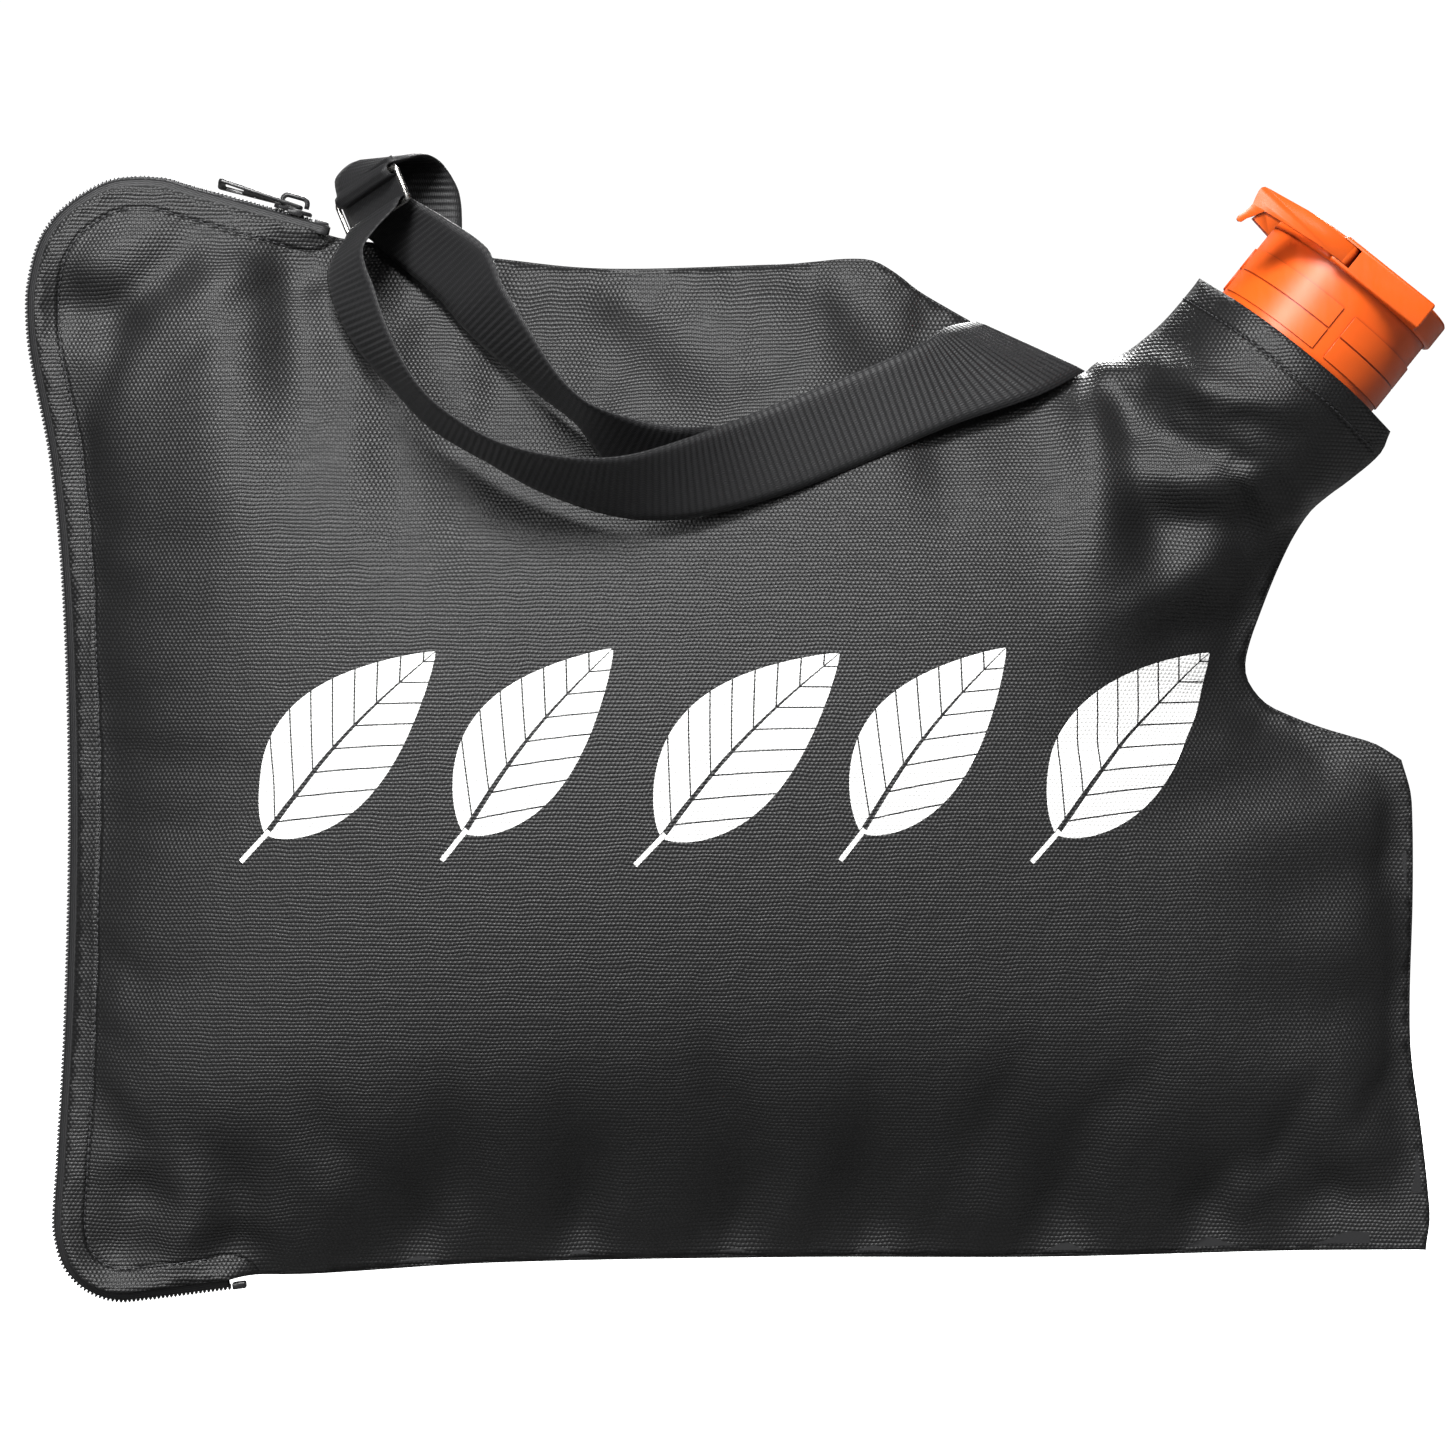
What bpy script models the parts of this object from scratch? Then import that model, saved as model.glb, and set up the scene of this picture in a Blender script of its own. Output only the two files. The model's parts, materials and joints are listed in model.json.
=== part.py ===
"""Collection bag of a leaf vacuum: a zipped fabric bag with a slanted neck, a moulded connector with a
latch arm, and a webbing shoulder strap on a wire slide.

Metres, +Z up, the front faces -Y. The origin is the centre of the connector's mouth, where the bag hangs
on the machine's outlet."""

import math

import bmesh
import bpy
import numpy as np
from mathutils import Matrix, Vector
from mathutils.geometry import delaunay_2d_cdt

# Between pieces that touch
GAP = 0.0003

# Bag
BODY_WIDTH = 0.597
BODY_HEIGHT = 0.437
BODY_RIGHT = 0.0204  # right seam, from the mouth
BODY_TOP = 0.0  # top seam, above the mouth's centre
SHOULDER_DROP = 0.203  # mouth to the shoulder beside the neck
BAG_DEPTH = 0.120  # front to back, lightly filled
FABRIC = 0.0012
FULLNESS = 0.72  # below 1 the panels rise steeply from the seams
CLOTH_STEP = 0.023
NECK_STEP = 0.009
SEAM_STEP = 0.013

# Connector, along its own axis
NECK_TILT = math.radians(38.7)  # from vertical, towards +X
TUBE_RADIUS = 0.0422
TUBE_WALL = 0.0026
HEM_DROP = 0.0505  # mouth to hem
HEM_WIDTH = 0.109
TUBE_INSERT = 0.045  # length of tube inside the sleeve
STOP_FLANGE = 0.0022
STOP_FLANGE_HEIGHT = 0.004
SLEEVE_CLEARANCE = 0.0012
SLEEVE_OVERLAP = 0.006  # sleeve past the tube's inner end
TUBE_SOFTENING = 0.0008
TUBE_PANELS = 4  # raised panels round the tube, in each row
PANEL_ROWS = 2
PANEL_HEIGHT = 0.0108
PANEL_RAISE = 0.0008
PANEL_START = 0.0028  # above the hem
PANEL_ROW_GAP = 0.0008
PANEL_GAP_ANGLE = math.radians(9)
PANEL_TURN = math.radians(8)  # gap's middle, from the front towards +X
COLLAR_WALL = 0.0024
COLLAR_HEIGHT = 0.0132
COLLAR_ROUND = 0.0016
BOSS_WIDTH = 0.049
BOSS_OFFSET = 0.0087  # boss centre, from the tube's axis
BOSS_PROUD = 0.0043
BOSS_ROUND = 0.0012

# Latch
PIN_RADIUS = 0.0016
PIN_HEAD = 0.0026
PIN_HEAD_DEPTH = 0.0012
PIN_CLEARANCE = 0.0004
PIVOT_INSET = 0.0048  # pivot, from the boss's end
KNUCKLE_RADIUS = 0.0036
KNUCKLE_HEIGHT = 0.0090
ARM_REACH = 0.0474  # pivot to the arm's outer corner
ARM_THICKNESS = 0.0026
FINGER_DROP = 0.0190  # arm's outer corner to the finger tab's tip
GUSSET_DEPTH = 0.0075
CATCH_DEPTH = 0.0072
CATCH_HEIGHT = 0.0056
CATCH_DROP = 0.0096  # catch's middle, below the mouth
SPRING_WIRE = 0.0005
SPRING_TURNS = 3
SPRING_SEAT = 0.0024  # below the collar's middle

# Zip
ROW_RADIUS = 0.0015
ROW_CENTRE = 0.0026  # from the bag's middle plane
CHAIN_PROUD = 0.003  # chain outside the fabric's edge
TAPE = 0.0007
TAPE_TUCK = 0.0015  # tape inside the fabric's edge
ZIP_EDGE = 0.0078  # fabric's edge, from the middle plane
ZIP_SLOPE = math.radians(15.5)
ZIP_STRAIGHT = 0.082
ZIP_START = 0.1225  # zip's upper end, from the left seam
ZIP_RISE = 0.0125  # zip's upper end, above the top seam
ZIP_FOOT = 0.0854  # zip's lower end, from the left seam
SLIDER_LENGTH = 0.017
SLIDER_HALF_WIDTH = 0.0060
SLIDER_INNER_HALF_WIDTH = 0.0038
SLIDER_WING = 0.0014
SLIDER_CLEARANCE = 0.0004
SLIDER_REST = 0.023  # slider's middle, from the zip's upper end
SLIDER_POST = 0.0012
BRIDGE_LENGTH = 0.0135
BRIDGE_HEIGHT = 0.0066
BRIDGE_WIRE = 0.0011
PULL_LENGTH = 0.0385
PULL_WIDTH = 0.0088
PULL_THICKNESS = 0.0016
PULL_BAR = 0.0020
STOP_LENGTH = 0.006

# Shoulder strap
WEBBING_WIDTH = 0.038
WEBBING = 0.0016
STRAP_RIGHT = -0.1493  # sewn end, from the mouth
SLIDE_FROM_LEFT = 0.138  # wire slide's middle, from the left seam
SLIDE_RISE = 0.0265  # wire slide's middle, above the top seam
SLIDE_FORWARD = 0.0180  # wire slide's middle, in front of the seam
SLIDE_WIRE = 0.0012
SLIDE_HEIGHT = 0.0155
SLIDE_CLEARANCE = 0.0014
FOLD_LOOSENESS = 0.0048
STRAP_STEP = 0.009
LOOP_STEP = 0.005

# Bound seam allowances inside
BINDING_INSET = 0.0035
BINDING_WIDTH = 0.007
BINDING = 0.0014

LEFT = BODY_RIGHT - BODY_WIDTH
TOP = BODY_TOP
BOTTOM = BODY_TOP - BODY_HEIGHT
ALONG = Vector((math.sin(NECK_TILT), 0, math.cos(NECK_TILT)))
ACROSS = Vector((math.cos(NECK_TILT), 0, -math.sin(NECK_TILT)))
SLEEVE_RADIUS = TUBE_RADIUS + STOP_FLANGE + SLEEVE_CLEARANCE
SLEEVE_END = HEM_DROP + TUBE_INSERT + SLEEVE_OVERLAP
COLLAR_RADIUS = TUBE_RADIUS + COLLAR_WALL
BOSS_FACE = COLLAR_RADIUS + BOSS_PROUD
BOSS_LEFT = BOSS_OFFSET - BOSS_WIDTH / 2
PIVOT = (BOSS_LEFT + PIVOT_INSET, -BOSS_FACE + KNUCKLE_RADIUS + 0.0002)
KNUCKLE_LOW = -COLLAR_HEIGHT / 2 - KNUCKLE_HEIGHT / 2
KNUCKLE_HIGH = -COLLAR_HEIGHT / 2 + KNUCKLE_HEIGHT / 2
CHAIN_HALF = ROW_RADIUS + SLIDER_CLEARANCE

ORANGE = (0.85, 0.13, 0.015)
CHARCOAL = (0.032, 0.032, 0.034)
JET = (0.012, 0.012, 0.013)
STEEL = (0.62, 0.62, 0.63)


def start_scene():
    for item in list(bpy.data.objects):
        bpy.data.objects.remove(item)
    made = []
    for name in ("leaf_vacuum_bag", "cutters", "guides"):
        group = bpy.data.collections.new(name)
        bpy.context.scene.collection.children.link(group)
        made.append(group)
    return made


PARTS, CUTTERS, GUIDES = start_scene()


# Helpers

def material(item, colour, roughness, metallic=0.0):
    look = bpy.data.materials.new(item.name)
    look.use_nodes = True
    shader = look.node_tree.nodes["Principled BSDF"]
    shader.inputs["Base Color"].default_value = (*colour, 1)
    shader.inputs["Roughness"].default_value = roughness
    shader.inputs["Metallic"].default_value = metallic
    item.data.materials.append(look)


def place(item, parent=None):
    PARTS.objects.link(item)
    item.parent = parent
    return item


def mesh_object(name, bm, parent=None):
    bmesh.ops.recalc_face_normals(bm, faces=bm.faces)
    mesh = bpy.data.meshes.new(name)
    bm.to_mesh(mesh)
    bm.free()
    return place(bpy.data.objects.new(name, mesh), parent)


def cutter(item):
    PARTS.objects.unlink(item)
    CUTTERS.objects.link(item)
    item.hide_render = True
    item.display_type = "WIRE"
    return item


def boolean(item, other, operation):
    step = item.modifiers.new(operation.lower(), "BOOLEAN")
    step.operation = operation
    step.solver = "EXACT"
    step.object = other


def bevel(item, width, segments=2, angle=math.radians(40)):
    step = item.modifiers.new("bevel", "BEVEL")
    step.width = width
    step.segments = segments
    step.limit_method = "ANGLE"
    step.angle_limit = angle


def solidify(item, thickness, offset):
    step = item.modifiers.new("solidify", "SOLIDIFY")
    step.thickness = thickness
    step.offset = offset


def box(name, low, high, parent=None):
    bm = bmesh.new()
    bmesh.ops.create_cube(bm, size=1)
    low, high = Vector(low), Vector(high)
    middle = (low + high) / 2
    size = high - low
    for vert in bm.verts:
        vert.co = middle + Vector((vert.co.x * size.x, vert.co.y * size.y, vert.co.z * size.z))
    return mesh_object(name, bm, parent)


def cylinder(name, radius, low, high, parent=None, segments=24):
    bm = bmesh.new()
    bmesh.ops.create_cone(
        bm, cap_ends=True, segments=segments, radius1=radius, radius2=radius, depth=high - low,
        matrix=Matrix.Translation((0, 0, (low + high) / 2)),
    )
    return mesh_object(name, bm, parent)


def turned(name, profile, parent=None, steps=64):
    """A closed profile of (radius, height) turned about Z."""
    bm = bmesh.new()
    verts = [bm.verts.new((radius, 0, height)) for radius, height in profile]
    for first, second in zip(verts, verts[1:] + verts[:1]):
        bm.edges.new((first, second))
    mesh = bpy.data.meshes.new(name)
    bm.to_mesh(mesh)
    bm.free()
    item = place(bpy.data.objects.new(name, mesh), parent)
    step = item.modifiers.new("screw", "SCREW")
    step.steps = steps
    step.render_steps = steps
    step.use_merge_vertices = True
    step.merge_threshold = 0.00001
    return item


def flat_outline(name, points, low, high, parent=None):
    """A closed outline in local X and Y, from height low to high."""
    curve = bpy.data.curves.new(name, "CURVE")
    curve.dimensions = "2D"
    curve.fill_mode = "BOTH"
    curve.extrude = (high - low) / 2
    spline = curve.splines.new("POLY")
    spline.points.add(len(points) - 1)
    for point, (x, y) in zip(spline.points, points):
        point.co = (x, y, 0, 1)
    spline.use_cyclic_u = True
    item = place(bpy.data.objects.new(name, curve), parent)
    item.location.z = (low + high) / 2
    return as_mesh(item)


def upright_outline(name, points, front, back, parent=None):
    """A closed outline in local X and Z, from front to back along Y."""
    item = flat_outline(name, points, front, back, parent)
    item.rotation_euler.x = math.pi / 2
    item.location = (0, (front + back) / 2, 0)
    return item


def as_mesh(item):
    """The curve object as a welded mesh, so that it can be cut or joined."""
    bpy.context.view_layer.update()
    evaluated = item.evaluated_get(bpy.context.evaluated_depsgraph_get())
    mesh = bpy.data.meshes.new_from_object(evaluated)
    bm = bmesh.new()
    bm.from_mesh(mesh)
    bmesh.ops.remove_doubles(bm, verts=bm.verts, dist=0.000001)
    bmesh.ops.recalc_face_normals(bm, faces=bm.faces)
    bm.to_mesh(mesh)
    bm.free()
    made = bpy.data.objects.new("made", mesh)
    name = item.name
    parent = item.parent
    local = item.matrix_local.copy()
    bpy.data.objects.remove(item)
    made.name = name
    place(made, parent)
    made.matrix_local = local
    return made


def wire(name, points, radius, parent=None, closed=False):
    curve = bpy.data.curves.new(name, "CURVE")
    curve.dimensions = "3D"
    curve.bevel_depth = radius
    curve.bevel_resolution = 2
    curve.use_fill_caps = not closed
    spline = curve.splines.new("POLY")
    spline.points.add(len(points) - 1)
    for point, place_at in zip(spline.points, points):
        point.co = (*place_at, 1)
    spline.use_cyclic_u = closed
    return place(bpy.data.objects.new(name, curve), parent)


def smooth(points, step, closed=False):
    """Points about a step apart on a smooth curve through the given ones."""
    given = [np.array(point, float) for point in points]
    count = len(given)
    made = []
    for i in range(count if closed else count - 1):
        a, b = given[i], given[(i + 1) % count]
        before = given[i - 1] if closed or i > 0 else 2 * a - b
        after = given[(i + 2) % count] if closed or i + 2 < count else 2 * b - a
        here = np.linalg.norm(b - a)
        leave = (b - before) * here / max(np.linalg.norm(b - a) + np.linalg.norm(a - before), 1e-9)
        arrive = (after - a) * here / max(np.linalg.norm(b - a) + np.linalg.norm(after - b), 1e-9)
        pieces = max(1, round(here / step))
        for k in range(pieces):
            t = k / pieces
            made.append(
                (2 * t**3 - 3 * t**2 + 1) * a + (t**3 - 2 * t**2 + t) * leave
                + (3 * t**2 - 2 * t**3) * b + (t**3 - t**2) * arrive
            )
    if not closed:
        made.append(given[-1])
    return np.array(made)


def smooth_rails(first, second, step):
    """Both rails of a strip on smooth curves, so that their points stay in pairs."""
    pairs = [(*a, *b) for a, b in zip(first, second)]
    path = smooth(pairs, step * math.sqrt(2))
    return path[:, :3], path[:, 3:]


def ribbon(name, first, second, thickness, parent=None):
    """A strip of even thickness between two rails of points."""
    bm = bmesh.new()
    rows = []
    for a, b in zip(first, second):
        a, b = Vector(a), Vector(b)
        rows.append([bm.verts.new(p) for p in (a, (a + b) / 2, b)])
    for row, after in zip(rows, rows[1:]):
        for k in (0, 1):
            bm.faces.new((row[k], row[k + 1], after[k + 1], after[k]))
    mesh = bpy.data.meshes.new(name)
    bm.to_mesh(mesh)
    bm.free()
    item = place(bpy.data.objects.new(name, mesh), parent)
    solidify(item, thickness, 0)
    return item


def arc(radius, start, end, count, middle=(0, 0)):
    """Points on an arc, both ends included."""
    return [
        (middle[0] + radius * math.cos(a), middle[1] + radius * math.sin(a))
        for a in np.linspace(start, end, count)
    ]


def rounded_rectangle(length, width, radius, middle=(0, 0), corner=4):
    points = []
    for k, (sx, sy) in enumerate(((1, 1), (-1, 1), (-1, -1), (1, -1))):
        centre = (middle[0] + sx * (length / 2 - radius), middle[1] + sy * (width / 2 - radius))
        points += arc(radius, k * math.pi / 2, (k + 1) * math.pi / 2, corner, centre)
    return points


# Outline of the bag's fabric, in X and Z

def neck_point(across, down):
    """A place in the bag's middle plane, across and down the connector's axis."""
    place_at = ACROSS * across - ALONG * down
    return np.array((place_at.x, place_at.z))


HEM_LEFT = neck_point(-HEM_WIDTH / 2, HEM_DROP)
HEM_RIGHT = neck_point(HEM_WIDTH / 2, HEM_DROP)
ZIP_TOP = np.array((LEFT + ZIP_START, TOP + ZIP_RISE))
ZIP_ALONG = np.array((-math.cos(ZIP_SLOPE), math.sin(ZIP_SLOPE)))
ZIP_OUT = np.array((math.sin(ZIP_SLOPE), math.cos(ZIP_SLOPE)))
ZIP_CORNER = ZIP_TOP + ZIP_ALONG * ZIP_STRAIGHT
ZIP_BOTTOM = np.array((LEFT + ZIP_FOOT, BOTTOM - 0.0099))


def between(low, high, share):
    return low + (high - low) * share


def upper_seam():
    """From the hem's left corner, down the neck and along the top to the zip."""
    x, z = HEM_LEFT
    strap = STRAP_RIGHT
    return smooth(
        (
            (x, z), (x - 0.0164, z - 0.0194), (x - 0.0349, z - 0.0340), (x - 0.0455, z - 0.0371),
            (x - 0.0504, z - 0.0415), (strap - 0.0020, TOP - 0.0365), (strap - 0.0241, TOP - 0.0252),
            (strap - 0.0485, TOP - 0.0110), (strap - 0.0690, TOP + 0.0025),
            (between(strap, ZIP_TOP[0], 0.35), TOP + 0.0010), (between(strap, ZIP_TOP[0], 0.62), TOP - 0.0010),
            (ZIP_TOP[0] + 0.0650, TOP + 0.0040), (ZIP_TOP[0] + 0.0260, TOP + 0.0090), tuple(ZIP_TOP),
        ),
        SEAM_STEP,
    )


def zipped_seam():
    """Straight from the zip's upper end, round the corner, down the left side and along to the lower end."""
    middle = between(TOP, BOTTOM, 0.54)
    turn = smooth(
        (
            tuple(ZIP_CORNER), (LEFT + 0.0244, TOP + 0.0340), (LEFT + 0.0111, TOP + 0.0280),
            (LEFT, TOP + 0.0190), (LEFT - 0.0070, TOP + 0.0080), (LEFT - 0.0115, TOP - 0.0100),
            (LEFT - 0.0110, TOP - 0.0350), (LEFT - 0.0013, TOP - 0.0860), (LEFT + 0.0045, TOP - 0.1480),
            (LEFT + 0.0070, middle), (LEFT + 0.0053, BOTTOM + 0.1120), (LEFT + 0.0012, BOTTOM + 0.0370),
            (LEFT, BOTTOM + 0.0100), (LEFT + 0.0040, BOTTOM - 0.0040), (LEFT + 0.0120, BOTTOM - 0.0126),
            (LEFT + 0.0240, BOTTOM - 0.0170), (LEFT + 0.0377, BOTTOM - 0.0161), tuple(ZIP_BOTTOM),
        ),
        SEAM_STEP,
    )
    pieces = round(ZIP_STRAIGHT / SEAM_STEP)
    straight = [ZIP_TOP + ZIP_ALONG * ZIP_STRAIGHT * k / pieces for k in range(pieces)]
    return np.array([*straight, *turn])


def lower_seam():
    """Along the bottom, up the right side, round the shoulder and up the neck to the hem's right corner."""
    x, z = HEM_RIGHT
    right = BODY_RIGHT
    shoulder = -SHOULDER_DROP
    bottom = smooth(
        (
            tuple(ZIP_BOTTOM), (LEFT + 0.1106, BOTTOM - 0.0095), (between(LEFT, right, 0.32), BOTTOM - 0.0046),
            (between(LEFT, right, 0.54), BOTTOM - 0.0022), (between(LEFT, right, 0.73), BOTTOM - 0.0020),
            (right - 0.0570, BOTTOM + 0.0007), (right + 0.0060, BOTTOM + 0.0012),
        ),
        SEAM_STEP,
    )
    side = smooth(
        (
            (right + 0.0060, BOTTOM + 0.0012), (right + 0.0080, BOTTOM + 0.0150), (right + 0.0046, BOTTOM + 0.0520),
            (right - 0.0007, BOTTOM + 0.0957), (right + 0.0005, between(BOTTOM, shoulder, 0.70)),
            (right - 0.0005, shoulder - 0.0300), (right - 0.0047, shoulder - 0.0154),
            (right - 0.0161, shoulder - 0.0083), (right - 0.0405, shoulder - 0.0008),
            (right - 0.0648, shoulder + 0.0098), (right - 0.0722, shoulder + 0.0190),
            (x - 0.0641, z - 0.1030), (x - 0.0619, z - 0.0928), (x - 0.0477, z - 0.0566),
            (x - 0.0353, z - 0.0358), (x - 0.0186, z - 0.0225), (x - 0.0044, z - 0.0101), (x, z),
        ),
        SEAM_STEP,
    )
    return np.array([*bottom, *side[1:]])


UPPER_SEAM = upper_seam()
ZIPPED_SEAM = zipped_seam()
LOWER_SEAM = lower_seam()


# Height of the filled panel over the middle plane

def neck_coordinates(points):
    """Distance across and down the connector's axis."""
    points = np.asarray(points)
    across = points[:, 0] * ACROSS.x + points[:, 1] * ACROSS.z
    down = -(points[:, 0] * ALONG.x + points[:, 1] * ALONG.z)
    return across, down


def sleeve_height(across):
    """Half of the sleeve's section: a round middle that runs straight to the two pinched seams."""
    half = HEM_WIDTH / 2
    touch = math.acos(SLEEVE_RADIUS / half)
    far = SLEEVE_RADIUS * math.cos(touch)
    slope = SLEEVE_RADIUS * math.sin(touch) / (half - far)
    away = np.abs(across)
    round_part = np.sqrt(np.maximum(SLEEVE_RADIUS**2 - away**2, 0))
    return np.maximum(np.where(away < far, round_part, (half - away) * slope), GAP / 2)


def outline_and_heights():
    """The fabric's outline, and its half thickness at each point: closed seams, zip's edges and hem."""
    pieces = round(HEM_WIDTH / NECK_STEP)
    hem = [between(HEM_RIGHT, HEM_LEFT, k / pieces) for k in range(1, pieces)]
    points = np.array([*UPPER_SEAM[:-1], *ZIPPED_SEAM[:-1], *LOWER_SEAM, *hem])
    heights = np.full(len(points), GAP / 2)
    first = len(UPPER_SEAM) - 1
    count = len(ZIPPED_SEAM) - 1
    for k in range(count + 1):
        heights[first + k] = ZIP_EDGE if 0 < k < count else GAP / 2
    across, _ = neck_coordinates(points[-len(hem):])
    heights[-len(hem):] = sleeve_height(across)
    return points, heights


def inside(points, outline):
    """Which points the outline holds, by counting the edges to their right."""
    held = np.zeros(len(points), bool)
    for a, b in zip(outline, np.roll(outline, -1, axis=0)):
        spans = (a[1] > points[:, 1]) != (b[1] > points[:, 1])
        if a[1] != b[1]:
            crossing = a[0] + (points[:, 1] - a[1]) * (b[0] - a[0]) / (b[1] - a[1])
            held ^= spans & (points[:, 0] < crossing)
    return held


def edge_distance(points, outline):
    nearest = np.full(len(points), np.inf)
    for a, b in zip(outline, np.roll(outline, -1, axis=0)):
        along = b - a
        share = np.clip((points - a) @ along / (along @ along), 0, 1)
        nearest = np.minimum(nearest, np.linalg.norm(points - a - share[:, None] * along, axis=1))
    return nearest


def hex_grid(step, low, high):
    rows = int((high[1] - low[1]) / (step * 0.866)) + 1
    columns = int((high[0] - low[0]) / step) + 2
    return np.array([
        (low[0] + (column + 0.5 * (row % 2)) * step, low[1] + row * step * 0.866)
        for row in range(rows) for column in range(columns)
    ])


def panel_triangles(outline):
    """The outline filled with even triangles, finer round the connector."""
    coarse = hex_grid(CLOTH_STEP, outline.min(axis=0), outline.max(axis=0))
    _, down = neck_coordinates(coarse)
    coarse = coarse[down > SLEEVE_END + CLOTH_STEP / 2]
    across, down = np.meshgrid(
        np.arange(-HEM_WIDTH / 2, HEM_WIDTH / 2 + NECK_STEP, NECK_STEP),
        np.arange(HEM_DROP + NECK_STEP, SLEEVE_END + NECK_STEP / 2, NECK_STEP),
    )
    fine = np.array([neck_point(a, d) for a, d in zip(across.ravel(), down.ravel())])
    points = np.concatenate([coarse, fine])
    spacing = np.concatenate([np.full(len(coarse), CLOTH_STEP), np.full(len(fine), NECK_STEP)])
    keep = inside(points, outline) & (edge_distance(points, outline) > 0.55 * spacing)
    points = np.concatenate([outline, points[keep]])
    ring = list(range(len(outline)))
    edges = list(zip(ring, ring[1:] + ring[:1]))
    verts, _, faces, _, _, _ = delaunay_2d_cdt([Vector(p) for p in points], edges, [ring], 1, 1e-7)
    return np.array([tuple(v) for v in verts]), np.array(faces)


def membrane(points, faces, fixed, values, load):
    """Heights of a membrane under an even load, with some points held."""
    count = len(points)
    stiffness = np.zeros((count, count))
    force = np.zeros(count)
    for face in faces:
        p = points[face]
        sides = p[[2, 0, 1]] - p[[1, 2, 0]]
        area = abs(sides[0][0] * sides[1][1] - sides[0][1] * sides[1][0]) / 2
        stiffness[np.ix_(face, face)] += sides @ sides.T / (4 * area)
        force[face] += load * area / 3
    free = ~fixed
    solved = values.copy()
    force = force[free] - stiffness[np.ix_(free, fixed)] @ values[fixed]
    solved[free] = np.linalg.solve(stiffness[np.ix_(free, free)], force)
    return solved


def panel_surface():
    """Points, triangles and heights of one panel's inner face."""
    outline, edge = outline_and_heights()
    points, faces = panel_triangles(outline)
    count = len(points)
    tallest = BAG_DEPTH / 2 - FABRIC
    on_edge = np.zeros(count, bool)
    on_edge[: len(outline)] = True
    plain = membrane(points, faces, on_edge, np.zeros(count), 1.0)
    load = 1 / plain.max()
    across, down = neck_coordinates(points)
    sleeve = ~on_edge & (down < SLEEVE_END) & (np.abs(across) < HEM_WIDTH / 2 + NECK_STEP)
    heights = np.zeros(count)
    heights[: len(outline)] = edge
    heights[sleeve] = sleeve_height(across[sleeve])
    fixed = on_edge | sleeve
    values = np.where(fixed, (heights / tallest) ** (1 / FULLNESS), 0)
    solved = np.maximum(membrane(points, faces, fixed, values, load), 0) ** FULLNESS * tallest
    return points, faces, np.where(fixed, heights, np.maximum(solved, GAP / 2))


PANEL_POINTS, PANEL_FACES, PANEL_HEIGHTS = panel_surface()


def bag_height(x, z):
    """Half thickness of the filled bag at a place in the middle plane, fabric included."""
    a, b, c = (PANEL_POINTS[PANEL_FACES[:, k]] for k in range(3))
    whole = (b[:, 0] - a[:, 0]) * (c[:, 1] - a[:, 1]) - (c[:, 0] - a[:, 0]) * (b[:, 1] - a[:, 1])
    to_b = ((x - a[:, 0]) * (c[:, 1] - a[:, 1]) - (c[:, 0] - a[:, 0]) * (z - a[:, 1])) / whole
    to_c = ((b[:, 0] - a[:, 0]) * (z - a[:, 1]) - (x - a[:, 0]) * (b[:, 1] - a[:, 1])) / whole
    lowest = np.minimum(np.minimum(to_b, to_c), 1 - to_b - to_c)
    best = int(lowest.argmax())
    if lowest[best] < -1e-3:
        return 0.0
    heights = PANEL_HEIGHTS[PANEL_FACES[best]]
    return float(heights @ (1 - to_b[best] - to_c[best], to_b[best], to_c[best])) + FABRIC


def panel(name, side):
    """One fabric panel, a shell from the seam to the seam: side -1 is the front."""
    bm = bmesh.new()
    verts = [bm.verts.new((x, side * h, z)) for (x, z), h in zip(PANEL_POINTS, PANEL_HEIGHTS)]
    for face in PANEL_FACES:
        bm.faces.new([verts[k] for k in face])
    bm.normal_update()
    if sum(face.normal.y for face in bm.faces) * side < 0:
        bmesh.ops.reverse_faces(bm, faces=bm.faces)
    mesh = bpy.data.meshes.new(name)
    bm.to_mesh(mesh)
    bm.free()
    item = place(bpy.data.objects.new(name, mesh))
    item.data.shade_smooth()
    solidify(item, FABRIC, 1)
    material(item, CHARCOAL, 0.85)
    return item


def offset_path(path, distance):
    """The path moved sideways in its plane, outwards from the bag."""
    along = np.gradient(path, axis=0)
    along /= np.linalg.norm(along, axis=1)[:, None]
    return path + distance * np.stack([along[:, 1], -along[:, 0]], axis=1)


def binding(name, seam):
    """A bound seam allowance inside the bag."""
    first = offset_path(seam, -BINDING_INSET)
    second = offset_path(seam, -BINDING_INSET - BINDING_WIDTH)
    item = ribbon(name, [(x, 0, z) for x, z in first], [(x, 0, z) for x, z in second], BINDING)
    material(item, JET, 0.8)


def nearest_point(path, x, z):
    return int(np.argmin(np.linalg.norm(path - (x, z), axis=1)))


def build_bag():
    panel("front_panel", -1)
    panel("back_panel", 1)
    at_zip, at_neck = 4, 7  # seam points left clear of the zip's stops and of the tube
    binding("seam_binding_upper", UPPER_SEAM[at_neck:-at_zip])
    bottom = nearest_point(LOWER_SEAM, BODY_RIGHT, BOTTOM)
    binding("seam_binding_bottom", LOWER_SEAM[at_zip:bottom - 1])
    shoulder = nearest_point(LOWER_SEAM, BODY_RIGHT, -SHOULDER_DROP)
    binding("seam_binding_side", LOWER_SEAM[bottom + 2:shoulder - 2])


# Zip

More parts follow.
